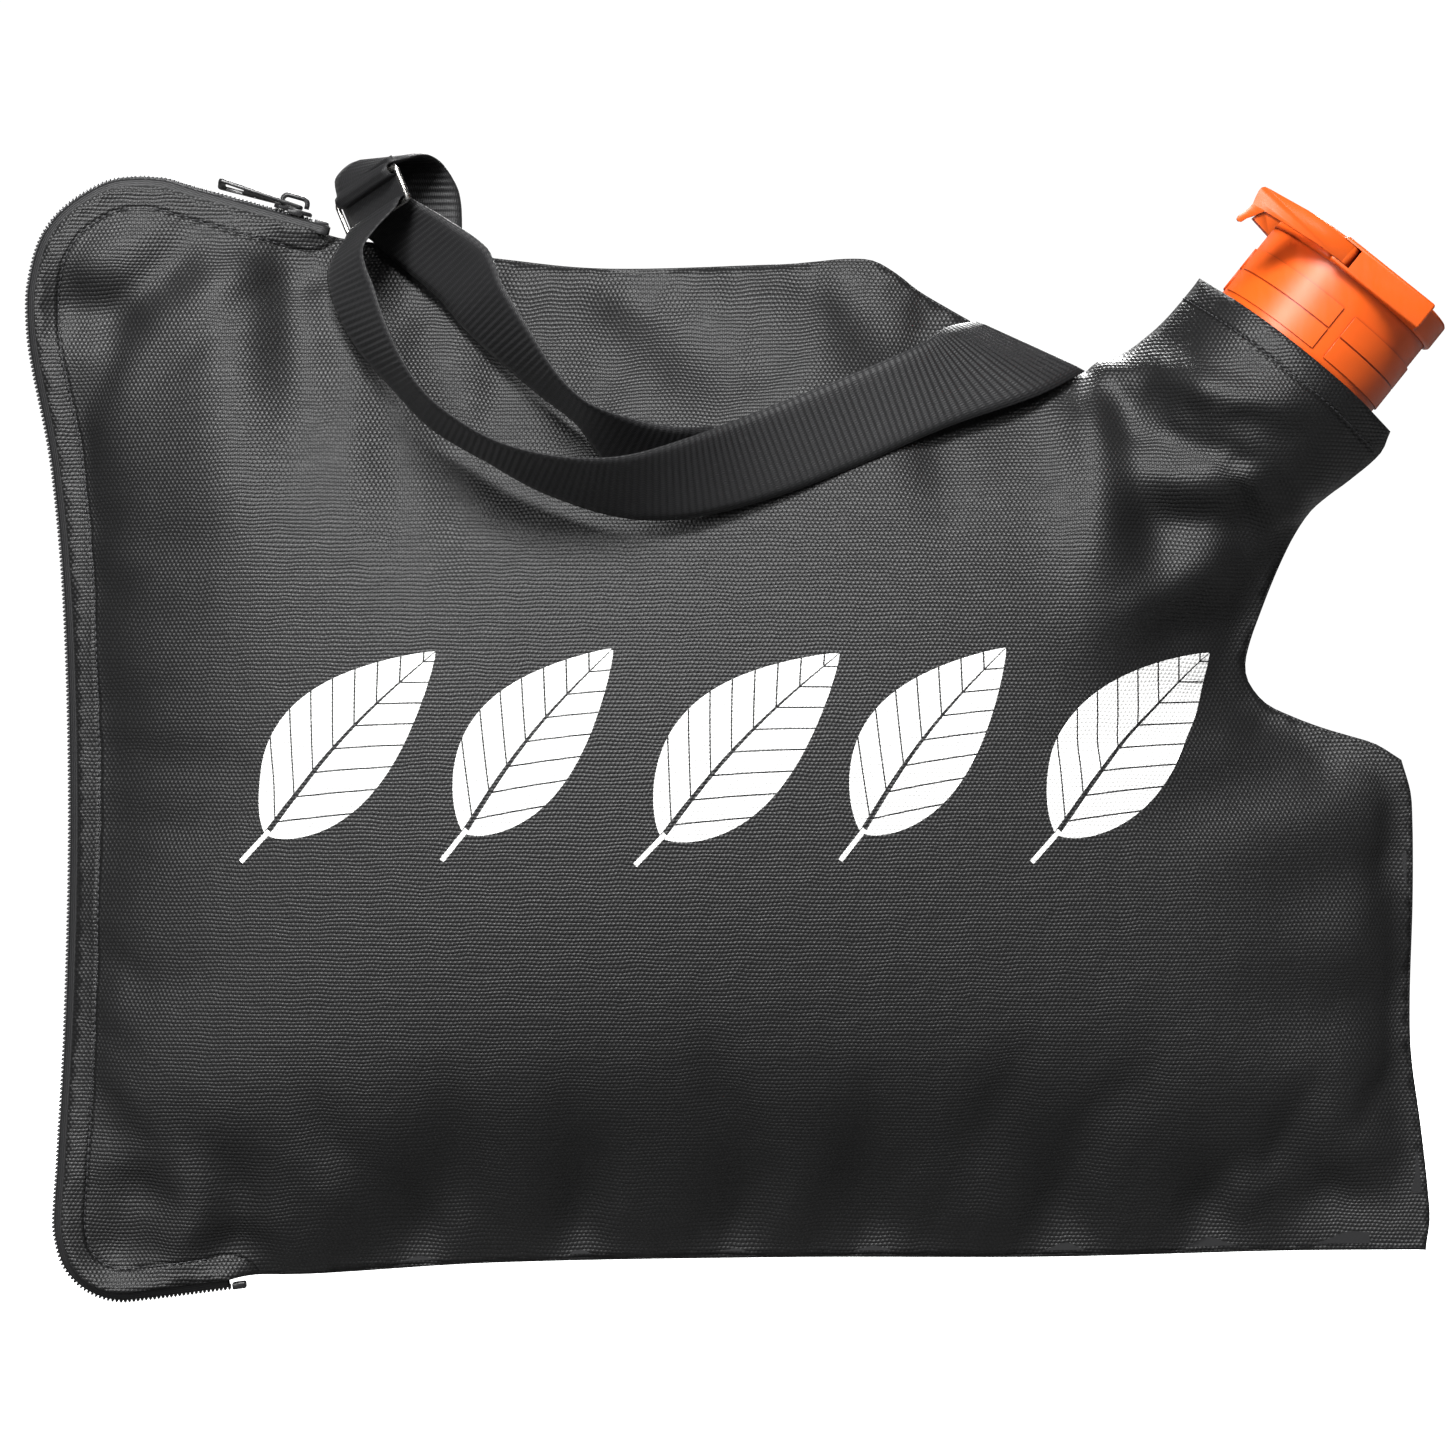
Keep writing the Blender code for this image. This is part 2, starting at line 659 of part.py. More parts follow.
def build_zip():
    chain = offset_path(ZIPPED_SEAM, CHAIN_PROUD)
    straight = round(ZIP_STRAIGHT / SEAM_STEP)
    chain[:straight] = ZIPPED_SEAM[:straight] + ZIP_OUT * CHAIN_PROUD
    inner = offset_path(ZIPPED_SEAM, -TAPE_TUCK)
    for name, side in (("front", -1), ("back", 1)):
        rows = chain[1:-1]
        row = wire(f"zip_coil_{name}", [(x, side * ROW_CENTRE, z) for x, z in rows], ROW_RADIUS)
        material(row, JET, 0.35)
        outer_edge = side * (ROW_CENTRE + ROW_RADIUS + GAP)
        inner_edge = side * (ZIP_EDGE - TAPE)
        first = [(x, outer_edge, z) for x, z in chain[1:-1]]
        second = [(x, inner_edge, z) for x, z in inner[1:-1]]
        tape = ribbon(f"zip_tape_{name}", first, second, TAPE)
        material(tape, JET, 0.8)
    ends = (("zip_top_stop", chain[0], chain[1]), ("zip_bottom_stop", chain[-1], chain[-2]))
    for name, end, after in ends:
        along = (after - end) / np.linalg.norm(after - end)
        lead = bpy.data.objects.new(f"{name}_place", None)
        GUIDES.objects.link(lead)
        lead.location = (end[0], 0, end[1])
        lead.rotation_euler = (0, -math.atan2(along[1], along[0]), 0)
        reach = np.linalg.norm(after - end) - ROW_RADIUS
        half = ROW_CENTRE + ROW_RADIUS
        item = box(name, (reach - STOP_LENGTH, -half, -ROW_RADIUS), (reach, half, ROW_RADIUS), lead)
        bevel(item, 0.0006)
        material(item, JET, 0.3)
    build_slider()


def slider_outline(length, half, nose):
    """A shield: rounded nose towards -X, straight sides and a plain tail."""
    tail = length / 2
    points = [(tail, -half * 0.8), (tail, half * 0.8)]
    points += [(tail - 0.2 * length, half), (-0.1 * length, half)]
    points += arc(nose, math.radians(80), math.radians(280), 7, (-length / 2 + nose, 0))
    points += [(-0.1 * length, -half), (tail - 0.2 * length, -half)]
    return points


def build_slider():
    middle = ZIP_TOP + ZIP_ALONG * SLIDER_REST + ZIP_OUT * CHAIN_PROUD
    lead = bpy.data.objects.new("slider_place", None)
    GUIDES.objects.link(lead)
    lead.location = (middle[0], 0, middle[1])
    lead.rotation_euler = (0, ZIP_SLOPE, 0)
    top = CHAIN_HALF + SLIDER_WING
    body = flat_outline(
        "zip_slider_body", slider_outline(SLIDER_LENGTH, SLIDER_HALF_WIDTH, 0.0042), CHAIN_HALF, top, lead
    )
    inner = flat_outline(
        "slider_inner_wing", slider_outline(SLIDER_LENGTH, SLIDER_INNER_HALF_WIDTH, 0.0030), -top, -CHAIN_HALF, lead
    )
    post = box(
        "slider_post", (-SLIDER_LENGTH / 2 + 0.0012, -SLIDER_POST / 2, -top + 0.0004),
        (-SLIDER_LENGTH / 2 + 0.0052, SLIDER_POST / 2, top - 0.0004), lead,
    )
    joined = [inner, post]
    for side in (-1, 1):
        edges = sorted((side * (SLIDER_HALF_WIDTH - 0.0011), side * SLIDER_HALF_WIDTH))
        joined.append(box(
            f"slider_flange_{side}", (-0.1 * SLIDER_LENGTH, edges[0], 0.0006),
            (0.28 * SLIDER_LENGTH, edges[1], top - 0.0004), lead,
        ))
    for piece in joined:
        cutter(piece)
        boolean(body, piece, "UNION")
    bevel(body, 0.0004, 1)
    material(body, JET, 0.3, 0.9)
    foot = top + GAP + BRIDGE_WIRE
    half = BRIDGE_LENGTH / 2 - BRIDGE_WIRE
    rise = BRIDGE_HEIGHT - BRIDGE_WIRE
    turn = 0.0024
    path = [(-half, 0, foot)]
    path += [(x, 0, z) for x, z in arc(turn, math.pi, math.pi / 2, 5, (-half + turn, top + rise - turn))]
    path += [(x, 0, z) for x, z in arc(turn, math.pi / 2, 0, 5, (half - turn, top + rise - turn))]
    path += [(half, 0, foot)]
    bridge = wire("zip_slider_bridge", path, BRIDGE_WIRE, lead)
    material(bridge, JET, 0.3, 0.9)
    build_pull(lead, top, half)


def build_pull(lead, top, half):
    """The pull lies over the slider, with its cross bar under the bridge's far end."""
    height = top + GAP + PULL_THICKNESS / 2 + 0.0002
    hinge = bpy.data.objects.new("pull_hinge", None)
    GUIDES.objects.link(hinge)
    hinge.parent = lead
    hinge.location = (half - BRIDGE_WIRE - GAP - PULL_BAR / 2 - 0.0004, 0, height)
    reach = PULL_LENGTH - PULL_BAR / 2
    plate = flat_outline(
        "zip_pull_tab",
        rounded_rectangle(PULL_LENGTH, PULL_WIDTH, 0.0016, (PULL_BAR / 2 - PULL_LENGTH / 2, 0)),
        -PULL_THICKNESS / 2, PULL_THICKNESS / 2, hinge,
    )
    slot_length = 2 * half
    slot = flat_outline(
        "pull_slot",
        rounded_rectangle(slot_length, 2 * BRIDGE_WIRE + 0.0020, 0.0012, (-PULL_BAR / 2 - slot_length / 2, 0)),
        -PULL_THICKNESS, PULL_THICKNESS, hinge,
    )
    inset = flat_outline(
        "pull_window",
        rounded_rectangle(0.0085, PULL_WIDTH - 0.0036, 0.0010, (-reach + 0.0075, 0)),
        -PULL_THICKNESS, PULL_THICKNESS, hinge,
    )
    for piece in (slot, inset):
        cutter(piece)
        boolean(plate, piece, "DIFFERENCE")
    bevel(plate, 0.0003, 1)
    material(plate, JET, 0.3, 0.9)


# Connector

def connector_axis():
    lead = bpy.data.objects.new("connector_axis", None)
    GUIDES.objects.link(lead)
    lead.rotation_euler = (0, NECK_TILT, 0)
    return lead


def build_tube(lead):
    end = -HEM_DROP - TUBE_INSERT
    bore = TUBE_RADIUS - TUBE_WALL
    seat = TUBE_RADIUS
    stop = TUBE_RADIUS + STOP_FLANGE
    soft = TUBE_SOFTENING
    tube = turned(
        "connector_tube",
        [
            (bore + soft, 0), (seat - soft, 0), (seat, -soft), (seat, end + STOP_FLANGE_HEIGHT),
            (stop, end + STOP_FLANGE_HEIGHT), (stop, end), (bore, end), (bore, -soft),
        ],
        lead,
    )
    sweep = 2 * math.pi / TUBE_PANELS - PANEL_GAP_ANGLE
    for row in range(PANEL_ROWS):
        foot = -HEM_DROP + PANEL_START + row * (PANEL_HEIGHT + PANEL_ROW_GAP)
        for k in range(TUBE_PANELS):
            middle = -math.pi / 2 + PANEL_TURN + (k + 0.5) * 2 * math.pi / TUBE_PANELS
            outer = arc(TUBE_RADIUS + PANEL_RAISE, middle - sweep / 2, middle + sweep / 2, 15)
            inner = arc(TUBE_RADIUS - TUBE_WALL / 2, middle + sweep / 2, middle - sweep / 2, 15)
            pad = cutter(flat_outline(f"tube_pad_{row}_{k}", outer + inner, foot, foot + PANEL_HEIGHT, lead))
            boolean(tube, pad, "UNION")
    tube.data.shade_smooth()
    material(tube, ORANGE, 0.4)


def build_collar(lead):
    """The collar round the mouth, with the rectangular boss that carries the latch's pivot."""
    low = -COLLAR_HEIGHT
    bore = TUBE_RADIUS + GAP
    outer = COLLAR_RADIUS
    edge = COLLAR_ROUND
    profile = [(bore, 0)]
    profile += [(r, z) for r, z in arc(edge, math.pi / 2, 0, 4, (outer - edge, -edge))]
    profile += [(r, z) for r, z in arc(edge, 0, -math.pi / 2, 4, (outer - edge, low + edge))]
    profile += [(bore, low)]
    collar = turned("connector_collar", profile, lead)
    boss = box(
        "collar_boss", (BOSS_LEFT, -BOSS_FACE, low), (BOSS_LEFT + BOSS_WIDTH, -TUBE_RADIUS * 0.55, 0), lead
    )
    bevel(boss, BOSS_ROUND, 2)
    core = cylinder("collar_core", bore, low - 0.01, 0.01, lead, 64)
    pocket = box(
        "knuckle_pocket",
        (BOSS_LEFT - 0.004, -BOSS_FACE - 0.004, KNUCKLE_LOW - GAP),
        (PIVOT[0] + KNUCKLE_RADIUS + GAP * 2, PIVOT[1] + KNUCKLE_RADIUS + GAP * 2, KNUCKLE_HIGH + GAP), lead,
    )
    pin_way = cylinder("pin_way", PIN_RADIUS + PIN_CLEARANCE / 2, low - 0.004, 0.004, lead)
    pin_way.location = (*PIVOT, 0)
    head_way = cylinder("pin_head_way", PIN_HEAD + PIN_CLEARANCE / 2, -PIN_HEAD_DEPTH - GAP, 0.004, lead)
    head_way.location = (*PIVOT, 0)
    for piece, operation in (
        (boss, "UNION"), (core, "DIFFERENCE"), (pocket, "DIFFERENCE"),
        (pin_way, "DIFFERENCE"), (head_way, "DIFFERENCE"),
    ):
        cutter(piece)
        boolean(collar, piece, operation)
    material(collar, ORANGE, 0.4)


# Front outline of the latch arm's plate, in shares: from the pivot to the outer corner, and from the
# collar's top down to the finger tab's tip.
ARM_PLATE = (
    (0.00, 0.08), (0.41, 0.08), (0.53, 0.10), (0.93, 0.225), (0.975, 0.245), (0.997, 0.29), (1.00, 0.35),
    (0.985, 0.48), (0.967, 0.60), (0.972, 0.72), (0.990, 0.85), (1.004, 0.92), (0.998, 0.98), (0.975, 1.00),
    (0.945, 0.97), (0.925, 0.86), (0.890, 0.76), (0.862, 0.66), (0.838, 0.58), (0.660, 0.535), (0.30, 0.455),
    (0.00, 0.43),
)
GUSSET = ((0.865, 0.60), (0.888, 0.79), (0.672, 0.855), (0.664, 0.50))


def arm_outline(shares):
    drop = FINGER_DROP + 0.24 * (COLLAR_HEIGHT * 2)
    return [(-ARM_REACH * along, -drop * down) for along, down in shares]


def build_latch(lead):
    """The arm swings out about its pin: it holds the bag on the outlet with the catch on its inner side."""
    hinge = bpy.data.objects.new("latch_hinge", None)
    GUIDES.objects.link(hinge)
    hinge.parent = lead
    hinge.location = (*PIVOT, 0)
    face = -KNUCKLE_RADIUS
    back = face + ARM_THICKNESS
    arm = cylinder("latch_arm", KNUCKLE_RADIUS, KNUCKLE_LOW, KNUCKLE_HIGH, hinge)
    plate = upright_outline("latch_plate", arm_outline(ARM_PLATE), face, back, hinge)
    gusset = upright_outline("latch_gusset", arm_outline(GUSSET), back - 0.0010, back + GUSSET_DEPTH, hinge)
    catch_foot = -ARM_REACH * 0.86
    middle = -COLLAR_HEIGHT / 2
    catch = flat_outline(
        "latch_catch",
        [
            (catch_foot, back - 0.0006), (catch_foot + 0.0095, back - 0.0006),
            (catch_foot + 0.0050, back + CATCH_DEPTH), (catch_foot + 0.0022, back + CATCH_DEPTH),
        ],
        -CATCH_DROP - CATCH_HEIGHT / 2, -CATCH_DROP + CATCH_HEIGHT / 2, hinge,
    )
    way = cylinder("latch_bore", PIN_RADIUS + PIN_CLEARANCE, KNUCKLE_LOW - 0.004, KNUCKLE_HIGH + 0.004, hinge)
    room = KNUCKLE_RADIUS - 0.0008
    spring_room = cylinder("spring_room", room, middle - SPRING_SEAT, KNUCKLE_HIGH + 0.002, hinge)
    for piece, operation in (
        (plate, "UNION"), (gusset, "UNION"), (catch, "UNION"), (way, "DIFFERENCE"), (spring_room, "DIFFERENCE"),
    ):
        cutter(piece)
        boolean(arm, piece, operation)
    bevel(arm, 0.0005, 1, math.radians(60))
    material(arm, ORANGE, 0.4)
    pin = turned(
        "latch_pin",
        [
            (0, -GAP), (PIN_HEAD, -GAP), (PIN_HEAD, -PIN_HEAD_DEPTH), (PIN_RADIUS, -PIN_HEAD_DEPTH),
            (PIN_RADIUS, -COLLAR_HEIGHT + 0.0012), (PIN_RADIUS - 0.0004, -COLLAR_HEIGHT + 0.0008),
            (0, -COLLAR_HEIGHT + 0.0008),
        ],
        lead, 24,
    )
    pin.location = (*PIVOT, 0)
    material(pin, STEEL, 0.3, 1.0)
    radius = (PIN_RADIUS + room) / 2
    bottom = middle - SPRING_SEAT + GAP + SPRING_WIRE
    rise = KNUCKLE_HIGH - GAP - SPRING_WIRE - bottom
    steps = SPRING_TURNS * 12
    coil = [
        (
            PIVOT[0] + radius * math.cos(2 * math.pi * k / 12),
            PIVOT[1] + radius * math.sin(2 * math.pi * k / 12),
            bottom + rise * k / steps,
        )
        for k in range(steps + 1)
    ]
    spring = wire("latch_spring", coil, SPRING_WIRE, lead)
    material(spring, STEEL, 0.3, 1.0)


# Shoulder strap

SLIDE_MIDDLE = Vector((LEFT + SLIDE_FROM_LEFT, -SLIDE_FORWARD, TOP + SLIDE_RISE))
SLIDE_LONG = Vector((-27, 30, -15)).normalized()
SLIDE_SHORT = Vector((5.7, -1.7, -13.7))
SLIDE_SHORT = (SLIDE_SHORT - SLIDE_LONG * SLIDE_SHORT.dot(SLIDE_LONG)).normalized()
SLIDE_FACE = SLIDE_LONG.cross(SLIDE_SHORT)

# Edges of the strap between its sewn end and the wire slide, and of its tail from the slide to behind
# the strap: share of the way from the sewn end to the slide, drop below the top seam, the half width
# seen from the front (right and up), and the far edge's lift off the bag.
STRAP_RUN = (
    (0.000, 0.0363, -0.0243, 0.0110, 0.0032),
    (0.060, 0.0440, -0.0200, 0.0150, 0.0050),
    (0.150, 0.0553, -0.0075, 0.0175, 0.0050),
    (0.290, 0.0730, -0.0070, 0.0176, 0.0060),
    (0.408, 0.0867, -0.0064, 0.0175, 0.0095),
    (0.528, 0.0975, -0.0012, 0.0166, 0.0140),
    (0.622, 0.1006, 0.0012, 0.0126, 0.0150),
    (0.724, 0.0954, 0.0040, 0.0072, 0.0150),
    (0.810, 0.0858, 0.0023, 0.0041, 0.0150),
    (0.894, 0.0712, 0.0034, 0.0034, 0.0130),
    (0.946, 0.0557, 0.0051, 0.0018, 0.0110),
    (0.995, 0.0353, 0.0081, 0.0023, 0.0080),
    (1.026, 0.0149, 0.0096, 0.0027, 0.0060),
    (1.038, -0.0010, 0.0085, 0.0040, 0.0040),
)
TAIL_RUN = (
    (0.920, -0.0080, 0.0120, 0.0085, 0.0030),
    (0.860, 0.0062, 0.0111, 0.0100, 0.0040),
    (0.834, 0.0190, 0.0094, 0.0085, 0.0045),
    (0.783, 0.0380, 0.0077, 0.0054, 0.0050),
    (0.728, 0.0560, 0.0042, 0.0039, 0.0050),
    (0.676, 0.0690, 0.0029, 0.0040, 0.0050),
    (0.620, 0.0810, 0.0060, 0.0093, 0.0035),
    (0.548, 0.0880, 0.0046, 0.0130, 0.0030),
    (0.494, 0.0910, 0.0035, 0.0168, 0.0030),
)


def strap_edges(route):
    """Near and far edge of each station: the webbing keeps its width, so what isn't seen leans forward."""
    near, far = [], []
    for share, drop, right, up, lift in route:
        x = between(STRAP_RIGHT, SLIDE_MIDDLE.x, share)
        z = TOP - drop
        scale = WEBBING_WIDTH / 0.038
        right, up = right * scale, up * scale
        seen = 2 * math.hypot(right, up)
        lean = math.sqrt(max(WEBBING_WIDTH**2 - seen**2, 0))
        y = -bag_height(x - right, z - up) - lift
        low_near = -bag_height(x + right, z + up) - 0.002
        low_middle = 2 * (-bag_height(x, z) - 0.002) - y
        far.append(Vector((x - right, y, z - up)))
        near.append(Vector((x + right, min(y - lean, low_near, low_middle), z + up)))
    return near, far


def bar_edges(bar, offsets):
    """Edges of webbing that passes a bar of the slide at the given offsets from its middle line."""
    half = SLIDE_LONG * (WEBBING_WIDTH / 2)
    return [bar + o - half for o in offsets], [bar + o + half for o in offsets]


def build_strap():
    lower = SLIDE_MIDDLE + SLIDE_SHORT * (SLIDE_HEIGHT / 2)
    upper = SLIDE_MIDDLE - SLIDE_SHORT * (SLIDE_HEIGHT / 2)
    side = SLIDE_WIRE + GAP + WEBBING / 2 + FOLD_LOOSENESS
    over = SLIDE_WIRE + GAP + WEBBING / 2 + 0.0003
    near, far = strap_edges(STRAP_RUN)
    fold_near, fold_far = bar_edges(
        lower, (SLIDE_FACE * side + SLIDE_SHORT * 0.002, -SLIDE_SHORT * over, SLIDE_FACE * -side + SLIDE_SHORT * 0.002)
    )
    tail_near, tail_far = strap_edges(TAIL_RUN)
    rails = smooth_rails(near + fold_near + tail_near, far + fold_far + tail_far, STRAP_STEP)
    strap = ribbon("shoulder_strap", *rails, WEBBING)
    material(strap, JET, 0.85)
    build_loop(upper)
    build_slide(upper, lower)


def build_loop(upper):
    """Webbing from the seam behind, up and over, down to the slide's upper bar and round it."""
    left = SLIDE_MIDDLE.x + 0.0005
    right = left + WEBBING_WIDTH
    turn = SLIDE_WIRE + GAP + WEBBING / 2 + 0.0006
    near = [
        Vector((right, 0.0008, TOP + 0.0125)), Vector((right, 0.0042, TOP + 0.0210)),
        Vector((right - 0.0015, 0.0050, TOP + 0.0330)), Vector((right - 0.0080, 0.0000, TOP + 0.0440)),
        Vector((right - 0.0150, -0.0150, TOP + 0.0475)), Vector((right - 0.0220, -0.0255, TOP + 0.0455)),
    ]
    far = [
        Vector((left, 0.0008, TOP + 0.0125)), Vector((left, 0.0042, TOP + 0.0210)),
        Vector((left - 0.0020, 0.0080, TOP + 0.0330)), Vector((left - 0.0045, 0.0100, TOP + 0.0440)),
        Vector((left - 0.0110, 0.0080, TOP + 0.0455)), Vector((left - 0.0180, 0.0040, TOP + 0.0380)),
    ]
    offsets = [
        SLIDE_FACE * math.cos(a) * turn + SLIDE_SHORT * math.sin(a) * turn
        for a in np.radians((-80, -40, 0, 45, 90, 135, 180))
    ]
    offsets.append(offsets[-1] - SLIDE_SHORT * 0.006)
    fold_near, fold_far = bar_edges(upper, offsets)
    loop = ribbon("adjuster_loop", *smooth_rails(near + fold_near, far + fold_far, LOOP_STEP), WEBBING)
    material(loop, JET, 0.85)


def build_slide(upper, lower):
    """A rectangular wire loop whose two long bars carry the webbing."""
    half = SLIDE_LONG * (WEBBING_WIDTH / 2 + SLIDE_CLEARANCE + SLIDE_WIRE)
    corners = [upper + half, upper - half, lower - half, lower + half]
    turn = 0.0016
    path = []
    for k, corner in enumerate(corners):
        before = (corners[k - 1] - corner).normalized()
        after = (corners[(k + 1) % 4] - corner).normalized()
        for share in (0, 0.5, 1):
            bulge = (before * (1 - share) + after * share) * turn
            path.append(corner + bulge * (1 if share in (0, 1) else 0.58))
    slide = wire("wire_slide", path, SLIDE_WIRE, None, True)
    material(slide, STEEL, 0.25, 1.0)


build_bag()
build_zip()
axis = connector_axis()
build_tube(axis)
build_collar(axis)
build_latch(axis)
build_strap()
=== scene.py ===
"""Collection bag of a leaf vacuum: woven cloth, zip, moulded connector, webbing strap and studio stage."""

import json
import math

import bmesh
import bpy
import numpy as np
from bpy.props import FloatProperty, FloatVectorProperty, IntProperty, PointerProperty
from mathutils import Matrix, Vector
from mathutils.bvhtree import BVHTree
from mathutils.geometry import delaunay_2d_cdt

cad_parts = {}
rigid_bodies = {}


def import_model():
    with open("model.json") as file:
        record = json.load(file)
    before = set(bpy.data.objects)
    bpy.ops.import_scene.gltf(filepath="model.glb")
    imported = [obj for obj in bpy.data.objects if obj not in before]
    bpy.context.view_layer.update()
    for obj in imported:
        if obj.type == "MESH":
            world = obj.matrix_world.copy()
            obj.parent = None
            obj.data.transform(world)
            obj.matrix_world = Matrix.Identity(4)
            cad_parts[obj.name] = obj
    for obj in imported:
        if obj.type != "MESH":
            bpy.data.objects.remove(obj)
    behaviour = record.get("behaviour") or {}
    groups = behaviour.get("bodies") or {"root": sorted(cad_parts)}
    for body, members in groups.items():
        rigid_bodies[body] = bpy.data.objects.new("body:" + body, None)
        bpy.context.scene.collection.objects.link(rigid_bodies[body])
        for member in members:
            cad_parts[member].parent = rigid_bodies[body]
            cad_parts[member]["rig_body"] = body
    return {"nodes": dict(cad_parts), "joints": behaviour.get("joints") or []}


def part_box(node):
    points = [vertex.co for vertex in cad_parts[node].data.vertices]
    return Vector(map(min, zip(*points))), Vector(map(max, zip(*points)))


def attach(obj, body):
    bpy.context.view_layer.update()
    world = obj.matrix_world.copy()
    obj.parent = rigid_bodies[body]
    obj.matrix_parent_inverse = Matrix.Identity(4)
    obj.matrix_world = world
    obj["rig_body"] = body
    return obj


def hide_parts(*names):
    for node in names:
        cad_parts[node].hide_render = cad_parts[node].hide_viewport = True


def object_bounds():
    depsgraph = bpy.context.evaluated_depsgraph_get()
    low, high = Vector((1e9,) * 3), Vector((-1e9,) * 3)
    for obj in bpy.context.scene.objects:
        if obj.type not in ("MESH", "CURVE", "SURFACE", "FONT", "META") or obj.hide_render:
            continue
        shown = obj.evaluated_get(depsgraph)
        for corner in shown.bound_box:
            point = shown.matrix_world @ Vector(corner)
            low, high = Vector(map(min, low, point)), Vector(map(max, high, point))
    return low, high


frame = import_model()
CAD_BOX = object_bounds()
BODY = "bag"
SLEEVE_FOOT = 0.112
SLEEVE_HALF = 0.070
ZIP_PROUD = 0.0030
TUBE_FOOT = 0.101
FOLD_GAIN = 1.5
CUT_ALLOWANCE = 1.03
PULL_HOOK = 0.008
PULL_LIFT = 0.0008

bl_info = {
    "name": "Leaf Vacuum Bag",
    "version": (1, 0, 0),
    "blender": (4, 5, 0),
    "location": "3D View > Sidebar > Leaf Bag",
    "description": "Builds the cloth, zip, connector, strap and stage of a leaf vacuum's collection bag",
    "category": "Object",
}

# Folds pressed into the front cloth: both ends in X and Z, half width, and depth inwards.
FRONT_FOLDS = (
    ((-0.104, -0.040), (-0.069, -0.059), 0.0075, -0.0050),
    ((-0.072, -0.059), (-0.030, -0.066), 0.0080, -0.0045),
    ((-0.112, -0.060), (-0.078, -0.073), 0.0080, 0.0060),
    ((-0.080, -0.074), (-0.034, -0.086), 0.0085, 0.0055),
    ((-0.100, -0.092), (-0.050, -0.103), 0.0085, -0.0050),
    ((-0.095, -0.116), (-0.040, -0.112), 0.0085, 0.0065),
    ((-0.123, -0.056), (-0.119, -0.150), 0.0110, -0.0050),
    ((-0.106, -0.078), (-0.094, -0.130), 0.0080, 0.0050),
    ((-0.104, -0.152), (-0.056, -0.128), 0.0090, -0.0045),
    ((-0.086, -0.162), (-0.036, -0.152), 0.0110, 0.0055),
    ((-0.030, -0.198), (-0.110, -0.184), 0.0120, 0.0040),
    ((-0.020, -0.222), (-0.090, -0.236), 0.0130, 0.0030),
    ((-0.584, -0.020), (-0.552, -0.022), 0.0110, 0.0060),
    ((-0.553, -0.022), (-0.518, 0.004), 0.0080, 0.0055),
    ((-0.566, 0.004), (-0.540, 0.010), 0.0130, -0.0035),
    ((-0.571, -0.090), (-0.568, -0.260), 0.0170, 0.0045),
    ((-0.476, 0.004), (-0.464, -0.070), 0.0130, 0.0070),
    ((-0.440, -0.010), (-0.418, -0.118), 0.0150, 0.0060),
    ((-0.505, -0.010), (-0.500, -0.140), 0.0200, -0.0040),
    ((-0.330, -0.008), (-0.286, -0.052), 0.0140, 0.0050),
    ((-0.236, -0.004), (-0.206, -0.050), 0.0140, 0.0045),
    ((-0.555, -0.442), (-0.535, -0.392), 0.0150, 0.0060),
    ((-0.504, -0.446), (-0.494, -0.396), 0.0120, 0.0065),
    ((-0.462, -0.442), (-0.450, -0.398), 0.0130, -0.0040),
    ((-0.420, -0.442), (-0.410, -0.400), 0.0120, 0.0060),
    ((-0.352, -0.440), (-0.345, -0.396), 0.0130, 0.0065),
    ((-0.280, -0.439), (-0.276, -0.402), 0.0120, 0.0055),
    ((-0.216, -0.438), (-0.224, -0.392), 0.0130, 0.0070),
    ((-0.168, -0.437), (-0.178, -0.402), 0.0120, -0.0035),
    ((-0.130, -0.437), (-0.142, -0.392), 0.0130, 0.0065),
    ((-0.066, -0.437), (-0.078, -0.396), 0.0120, 0.0060),
    ((0.010, -0.425), (-0.044, -0.388), 0.0140, 0.0060),
    ((0.016, -0.330), (-0.040, -0.322), 0.0160, 0.0040),
    ((0.014, -0.262), (-0.036, -0.276), 0.0160, 0.0040),
)
BACK_FOLDS = (
    ((-0.120, -0.060), (-0.080, -0.104), 0.0130, 0.0060),
    ((-0.100, -0.046), (-0.050, -0.062), 0.0090, -0.0045),
    ((-0.046, -0.150), (-0.110, -0.165), 0.0130, 0.0060),
    ((-0.560, 0.008), (-0.510, -0.060), 0.0160, 0.0060),
    ((-0.400, -0.006), (-0.392, -0.070), 0.0140, 0.0060),
    ((-0.260, -0.004), (-0.250, -0.060), 0.0130, 0.0050),
    ((-0.576, -0.220), (-0.500, -0.230), 0.0180, 0.0050),
    ((-0.550, -0.442), (-0.530, -0.392), 0.0150, 0.0060),
    ((-0.470, -0.446), (-0.458, -0.386), 0.0130, 0.0065),
    ((-0.380, -0.440), (-0.372, -0.396), 0.0130, 0.0060),
    ((-0.300, -0.440), (-0.292, -0.390), 0.0130, 0.0065),
    ((-0.160, -0.437), (-0.172, -0.390), 0.0130, 0.0065),
    ((-0.080, -0.437), (-0.092, -0.396), 0.0130, 0.0055),
    ((0.014, -0.360), (-0.050, -0.352), 0.0160, 0.0050),
)
# Leaves printed on the front: foot in X and Z, angle in degrees, length, half width.
PRINTED_LEAVES = (
    (-0.482, -0.251, 47.0, 0.108, 0.0255),
    (-0.396, -0.250, 51.0, 0.102, 0.0240),
    (-0.311, -0.252, 46.0, 0.110, 0.0262),
    (-0.225, -0.250, 52.0, 0.101, 0.0242),
    (-0.141, -0.251, 48.0, 0.107, 0.0254),
)


# Sizes and colours

def length(name, description, default, low, high):
    return FloatProperty(
        name=name, description=description, default=default, min=low, max=high, unit="LENGTH", precision=5
    )


def colour(name, description, default):
    return FloatVectorProperty(
        name=name, description=description, default=default, size=3, min=0, max=1, subtype="COLOR"
    )


